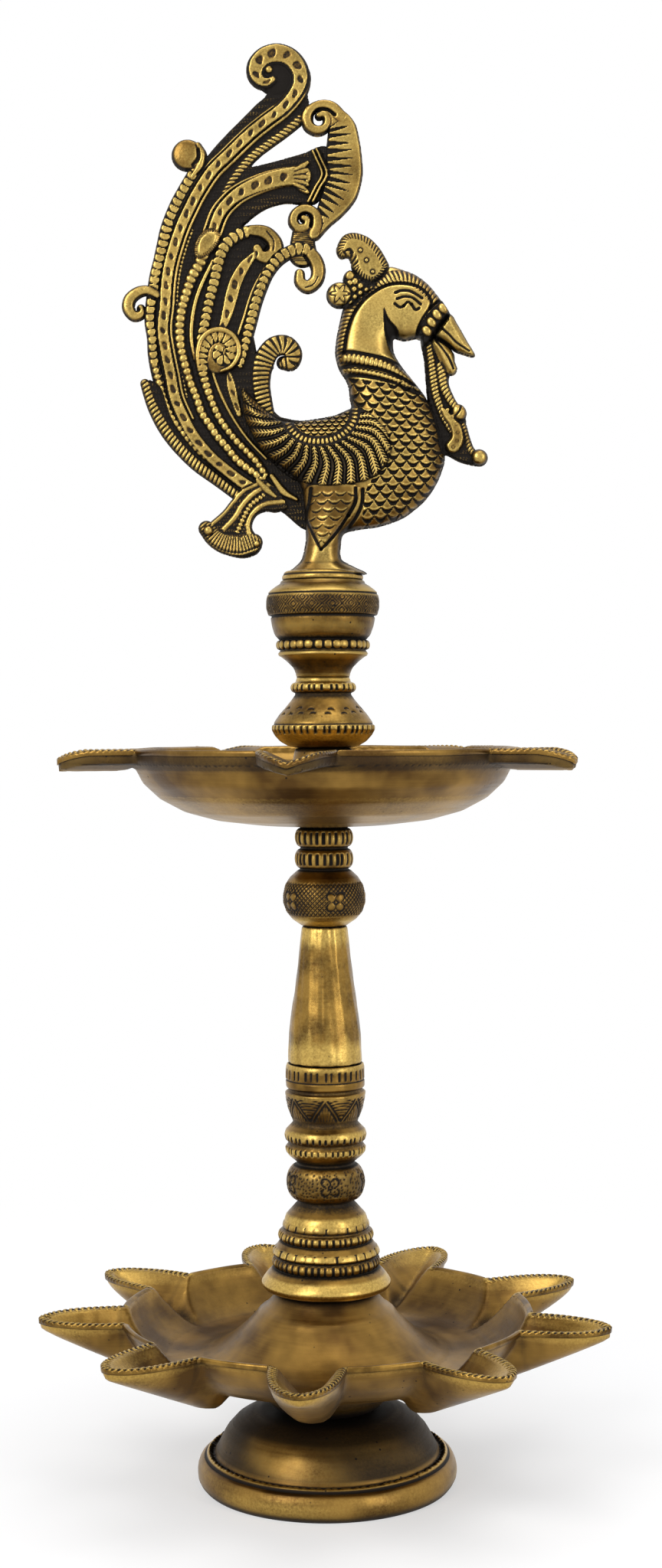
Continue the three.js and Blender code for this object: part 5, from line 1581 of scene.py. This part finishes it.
def make_wing(body):
    """A raised panel of barbed feathers that spread from a scaly saddle with a bead rim."""
    sheet = Sheet(-29.5, 25, 30, 67.5, FINE_GRID)
    wing = [(319, 506), (320, 522), (323, 545), (331, 564), (342, 585), (358, 603), (376, 619), (398, 631),
            (427, 638), (458, 636), (482, 631), (499, 620), (510, 604), (513, 588), (510, 572), (498, 555),
            (484, 542), (465, 533), (440, 542), (415, 547), (395, 549), (376, 546), (361, 541), (339, 526),
            (328, 514)]
    sheet.area(wing, 1.3, even(0, 0.95, 0), soft=0.6)
    tips = [(322, 518), (322, 535), (326, 551), (333, 567), (344, 584), (357, 599), (371, 611), (387, 621),
            (405, 628), (424, 633), (443, 635), (461, 633), (478, 628), (493, 618), (503, 605), (508, 590),
            (505, 573), (495, 557)]
    roots = [(352, 538), (362, 545), (371, 552), (378, 560), (383, 568), (389, 574), (396, 580), (404, 584),
             (413, 586), (422, 587), (431, 586), (440, 583), (448, 579), (455, 574), (460, 568), (465, 561),
             (468, 554), (470, 547)]
    for k in range(len(tips) - 1, -1, -1):
        root, tip = np.array(roots[k], float), np.array(tips[k], float)
        along = tip - root
        middle = (root + tip) / 2 + np.array([along[1], -along[0]]) * (0.07 + 0.008 * k)
        sheet.stroke([root, middle, tip], [3.4, 5.4, 7.4], 1.35, feathered, solid=False, soft=0.2)
    rim_of_saddle = [(378, 552), (384, 564), (398, 576), (418, 580), (438, 577), (454, 567), (464, 552),
                     (466, 536)]
    sheet.area([(380, 549), (392, 549), (415, 547), (440, 542), (464, 534), (464, 552), (453, 566),
                (437, 575), (418, 578), (399, 574), (386, 563)], 1.5,
               scaled(2.5, 1.5, sag=0.8, thick=0.4), solid=False)
    sheet.stroke(rim_of_saddle, 7.0, 1.3, groundwork, solid=False)
    sheet.stroke(rim_of_saddle, 4.0, 1.9, roped(1.5, 0.0, 0.6), solid=False, soft=0.2)
    sheet.stroke([(320, 507), (330, 521), (344, 533), (360, 543), (376, 549)], [3, 4, 4.4, 4.4, 4], 1.5,
                 roped(1.2, 0.5, 0.35), solid=False, soft=0.2)
    sheet.height = np.maximum(body.sample(sheet), 1.2) + sheet.height
    sheet.weather(hollow=3.0)
    show("bird_wing", sheet.mesh(edge_share=0.82, round_over=0.8), "bird", CHASED)


def raise_beak(sheet):
    """The two halves of the hooked beak, cut apart by a dark line."""
    sheet.area([(590, 410), (600, 424), (612, 445), (622, 462), (618, 465), (608, 462), (597, 458),
                (585, 448), (570, 438), (577, 422)], 2.8, keeled)
    sheet.area([(568, 440), (582, 449), (594, 460), (596, 472), (599, 481), (595, 488), (587, 488),
                (579, 478), (571, 462), (564, 447)], 2.6, keeled)
    sheet.engrave([(578, 429), (588, 438), (599, 449), (615, 459)], 1.2, 0.9)
    sheet.engrave([(571, 445), (582, 459), (590, 472), (594, 482)], 1.3, 0.9)
    sheet.engrave([(566, 439), (583, 448), (597, 459)], 1.5, 1.4)


def raise_crest(sheet):
    """Drop-shaped crest with three punched rings, and berries and a flower behind the head."""
    sheet.area([(443, 322), (443, 331), (448, 337), (457, 336), (461, 343), (463, 353), (470, 363),
                (480, 370), (491, 372), (501, 366), (508, 356), (510, 347), (505, 336), (497, 323),
                (485, 311), (472, 305), (460, 304), (450, 309)], 2.4, paisley)
    for spot in ((473, 328), (481, 341), (489, 356)):
        sheet.dome(spot, 4.4, 3.1, 0.45, punched_ring, solid=False)
    sheet.engrave([(452, 330), (459, 326), (463, 331)], 1.2, 0.6)
    sheet.area([(452, 360), (460, 353), (470, 362), (482, 371), (494, 374), (478, 390), (462, 404),
                (452, 402), (450, 380)], 3.2, pebbled(0.8, 0.5, 0.5))
    for x, y, r in ((459, 361, 6), (466, 369, 4.5), (473, 375, 4), (465, 379, 4), (473, 384, 3.6),
                    (481, 380, 3.6), (466, 389, 3.6), (459, 371, 4), (488, 378, 3.4), (460, 396, 3.2),
                    (475, 391, 3)):
        sheet.dome((x, y), r, 3.5, 0.8)
    sheet.dome((446, 385), 16.5, 2.4, 2.2, ringed_dome)


def raise_garland(sheet):
    """Two ribbed strands that hang from the beak, with a curl, a dotted leaf and a ball-ended rope."""
    sheet.area([(553, 441), (570, 436), (586, 449), (594, 462), (592, 480), (588, 500), (600, 528),
                (610, 545), (611, 572), (621, 590), (632, 596), (628, 607), (606, 603), (588, 594),
                (578, 590), (572, 560), (562, 523), (559, 495), (557, 470)], 1.8, pebbled())
    sheet.stroke([(562, 450), (565, 470), (568, 493), (572, 517), (581, 542), (590, 562)],
                 [4, 5, 5.4, 5.4, 5, 3], 3.1, roped(1.35, 0.35, 0.5))
    sheet.stroke([(577, 478), (580, 494), (583, 508), (591, 523), (600, 535)], [5, 5.8, 5.8, 5.6, 5], 3.3,
                 roped(1.4, 0.4, 0.5))
    sheet.dome((602, 538), 9, 2.8, 1.4, tall=1.2, tilt=20)
    sheet.engrave([(596, 544), (602, 537), (604, 530)], 1.2, 0.8)
    leaf = [(577, 532), (585, 534), (596, 545), (605, 556), (609, 570), (605, 584), (597, 591), (588, 590),
            (584, 581), (591, 570), (588, 556), (580, 544)]
    sheet.area(leaf, 2.7, flat_leaf)
    for x, y in ((587, 535), (593, 544), (598, 554), (600, 565), (599, 576), (594, 584)):
        sheet.dome((x, y), 2.6, 3.0, 0.35, solid=False)
    sheet.stroke([(608, 556), (613, 575), (618, 588), (627, 597)], [3.6, 4, 4.6, 6], 2.7,
                 roped(1.25, 0.4, 0.4))
    sheet.dome((628.5, 597), 10.5, 2.2, 2.2)


def cut_leg(sheet):
    """Lines of the pointed thigh panel, and the rubbed leg below it."""
    for cut, wide in (([(409, 640), (407, 655), (402, 677)], 2.2),
                      ([(402, 677), (411, 697), (422, 719)], 1.4),
                      ([(467, 640), (466, 658), (457, 675)], 2.2),
                      ([(457, 675), (441, 698), (422, 719)], 1.4),
                      ([(476, 642), (475, 660), (468, 676), (456, 692)], 2.0),
                      ([(397, 640), (396, 660), (393, 672)], 2.0)):
        sheet.engrave(cut, wide, 1.1)
    plain_leg = ease((19 - sheet.z) / 6) * (sheet.edge > 0)
    sheet.wear_and_highlight = np.maximum(sheet.wear_and_highlight, 0.85 * plain_leg * (sheet.dark < 0.4))


def make_bird():
    """The bird with its wings, with later work laid over earlier."""
    sheet = Sheet(-34, 60, 2.2, 126, GRID)
    for work in (raise_body, chase_scales, raise_thigh, raise_collars, raise_hood, cut_face, raise_garland,
                 raise_beak, raise_strap, raise_crest, cut_leg):
        work(sheet)
    sheet.weather()
    show("bird_body", sheet.mesh(edge_share=0.45, round_over=1.0), "bird", CHASED)
    make_wing(sheet)


def make_bird_disc():
    """The disc under the bird's foot, with a scribed edge."""
    z = DISC
    outline = [(14.0, z), (14.3, z + 0.4), (14.3, z + 1.9), (13.8, z + 2.4), (13.2, z + 3.1), (12.4, z + 3.3)]
    made = turned(bored(outline, (STUD_HOLE, HOLE_DEPTH - 2), None), [line_round(z + 2.1, 0.3, 0.2)],
                  sides=160, fine=0.4, seed=12)
    show("bird_disc", made, "bird", CAST)


# Hidden fixings keep their CAD shape

def finish_fixings():
    """Dull brass on the studs, dull steel on the bolt, washer and nut of the foot."""
    for name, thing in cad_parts.items():
        if "stud" in name or name in ("foot_nut", "foot_washer"):
            thing.data.materials.clear()
            thing.data.materials.append(STEEL if name.startswith("foot_") else THREAD)


# Studio

def seen(tree):
    """1 for what the camera sees straight, in reflections or through glass, and 0 for light on the lamp."""
    rays = node(tree, "ShaderNodeLightPath").outputs
    direct = node(tree, "ShaderNodeMath", {0: rays["Is Camera Ray"], 1: rays["Is Glossy Ray"]},
                  operation="MAXIMUM").outputs[0]
    return node(tree, "ShaderNodeMath", {0: direct, 1: rays["Is Transmission Ray"]},
                operation="MAXIMUM").outputs[0]


def make_floor():
    """Matt white paper. Far from the lamp it goes over to plain white for the camera and reflections."""
    material = bpy.data.materials.new("white_paper_floor")
    material.use_nodes = True
    tree = material.node_tree
    tree.nodes.clear()
    place = node(tree, "ShaderNodeTexCoord").outputs["Object"]
    far = node(tree, "ShaderNodeVectorMath", {0: place}, operation="LENGTH").outputs["Value"]
    far = node(tree, "ShaderNodeMapRange", {"Value": far, "From Min": 0.16, "From Max": 0.5},
               interpolation_type="SMOOTHSTEP").outputs[0]
    far = node(tree, "ShaderNodeMapRange", {"Value": far, "To Min": 0.45, "To Max": 1.0}).outputs[0]
    share = node(tree, "ShaderNodeMath", {0: seen(tree), 1: far}, operation="MULTIPLY").outputs[0]
    paper = node(tree, "ShaderNodeBsdfDiffuse", {"Color": colour("#F7F6F5")})
    glow = node(tree, "ShaderNodeEmission", {"Color": colour("#FFFFFF"), "Strength": 1.0})
    both = node(tree, "ShaderNodeMixShader", {0: share, 1: paper.outputs[0], 2: glow.outputs[0]})
    node(tree, "ShaderNodeOutputMaterial", {"Surface": both.outputs[0]})
    reach = 30 / MM
    mesh = new_mesh("floor", [(-reach, -reach, 0), (reach, -reach, 0), (reach, reach, 0), (-reach, reach, 0)],
                    [(0, 1, 2, 3)])
    mesh.materials.append(material)
    place_object("floor", mesh)


def make_world():
    """Even pale light from all round, plain white to the camera and in reflections."""
    world = bpy.data.worlds.new("studio")
    bpy.context.scene.world = world
    world.use_nodes = True
    tree = world.node_tree
    tree.nodes.clear()
    white = node(tree, "ShaderNodeBackground", {"Color": colour("#FFFFFF"), "Strength": 1.0})
    soft = node(tree, "ShaderNodeBackground", {"Color": colour("#F4F6FA"), "Strength": 0.8})
    both = node(tree, "ShaderNodeMixShader", {0: seen(tree), 1: soft.outputs[0], 2: white.outputs[0]})
    node(tree, "ShaderNodeOutputWorld", {"Surface": both.outputs[0]})


def add_softbox(name, place, aim, width, height, watts):
    """A rectangular studio light, placed and measured in metres."""
    light = bpy.data.lights.new(name, "AREA")
    light.shape, light.size, light.size_y = "RECTANGLE", width, height
    light.energy = watts
    lamp = place_object(name, light)
    lamp.location = place
    lamp.rotation_euler = (Vector(aim) - Vector(place)).to_track_quat("-Z", "Y").to_euler()


def make_camera():
    """Level with the upper bowl, 0.78 m in front, framed as the photograph is."""
    image_height, focal_pixels, mm_per_pixel = 2048, 2900, 0.2704
    right_mm, lens_height, aim_height, roll = 2.6, 270.4, 247.7, math.radians(-0.3)
    sensor_mm = 36
    data = bpy.data.cameras.new("camera")
    data.sensor_fit, data.sensor_height, data.sensor_width = "VERTICAL", sensor_mm, sensor_mm
    data.lens = focal_pixels / image_height * sensor_mm
    data.clip_end = 100
    camera = place_object("camera", data)
    camera.location = Vector((right_mm, -focal_pixels * mm_per_pixel, lens_height)) * MM
    aim = Vector((right_mm, 0, aim_height)) * MM
    look = (aim - camera.location).to_track_quat("-Z", "Y").to_euler()
    look.rotate_axis("Z", roll)
    camera.rotation_euler = look
    bpy.context.scene.camera = camera


make_camera()
make_world()
make_floor()
add_softbox("key", (-0.9, -1.1, 1.0), (0, 0, 0.25), 0.5, 1.1, 11)
add_softbox("side", (1.0, -0.9, 0.5), (0, 0, 0.25), 0.25, 1.0, 4)
add_softbox("top", (0.1, -0.1, 1.6), (0, 0, 0.2), 0.9, 0.9, 8)

make_foot()
make_lower_stem()
make_shaft()
make_knop()
make_vase_cushion()
make_vase_top()
make_lower_tray()
make_upper_tray()
make_tail()
make_bird()
make_bird_disc()
finish_fixings()

scene = bpy.context.scene
scene.view_settings.view_transform = "Standard"
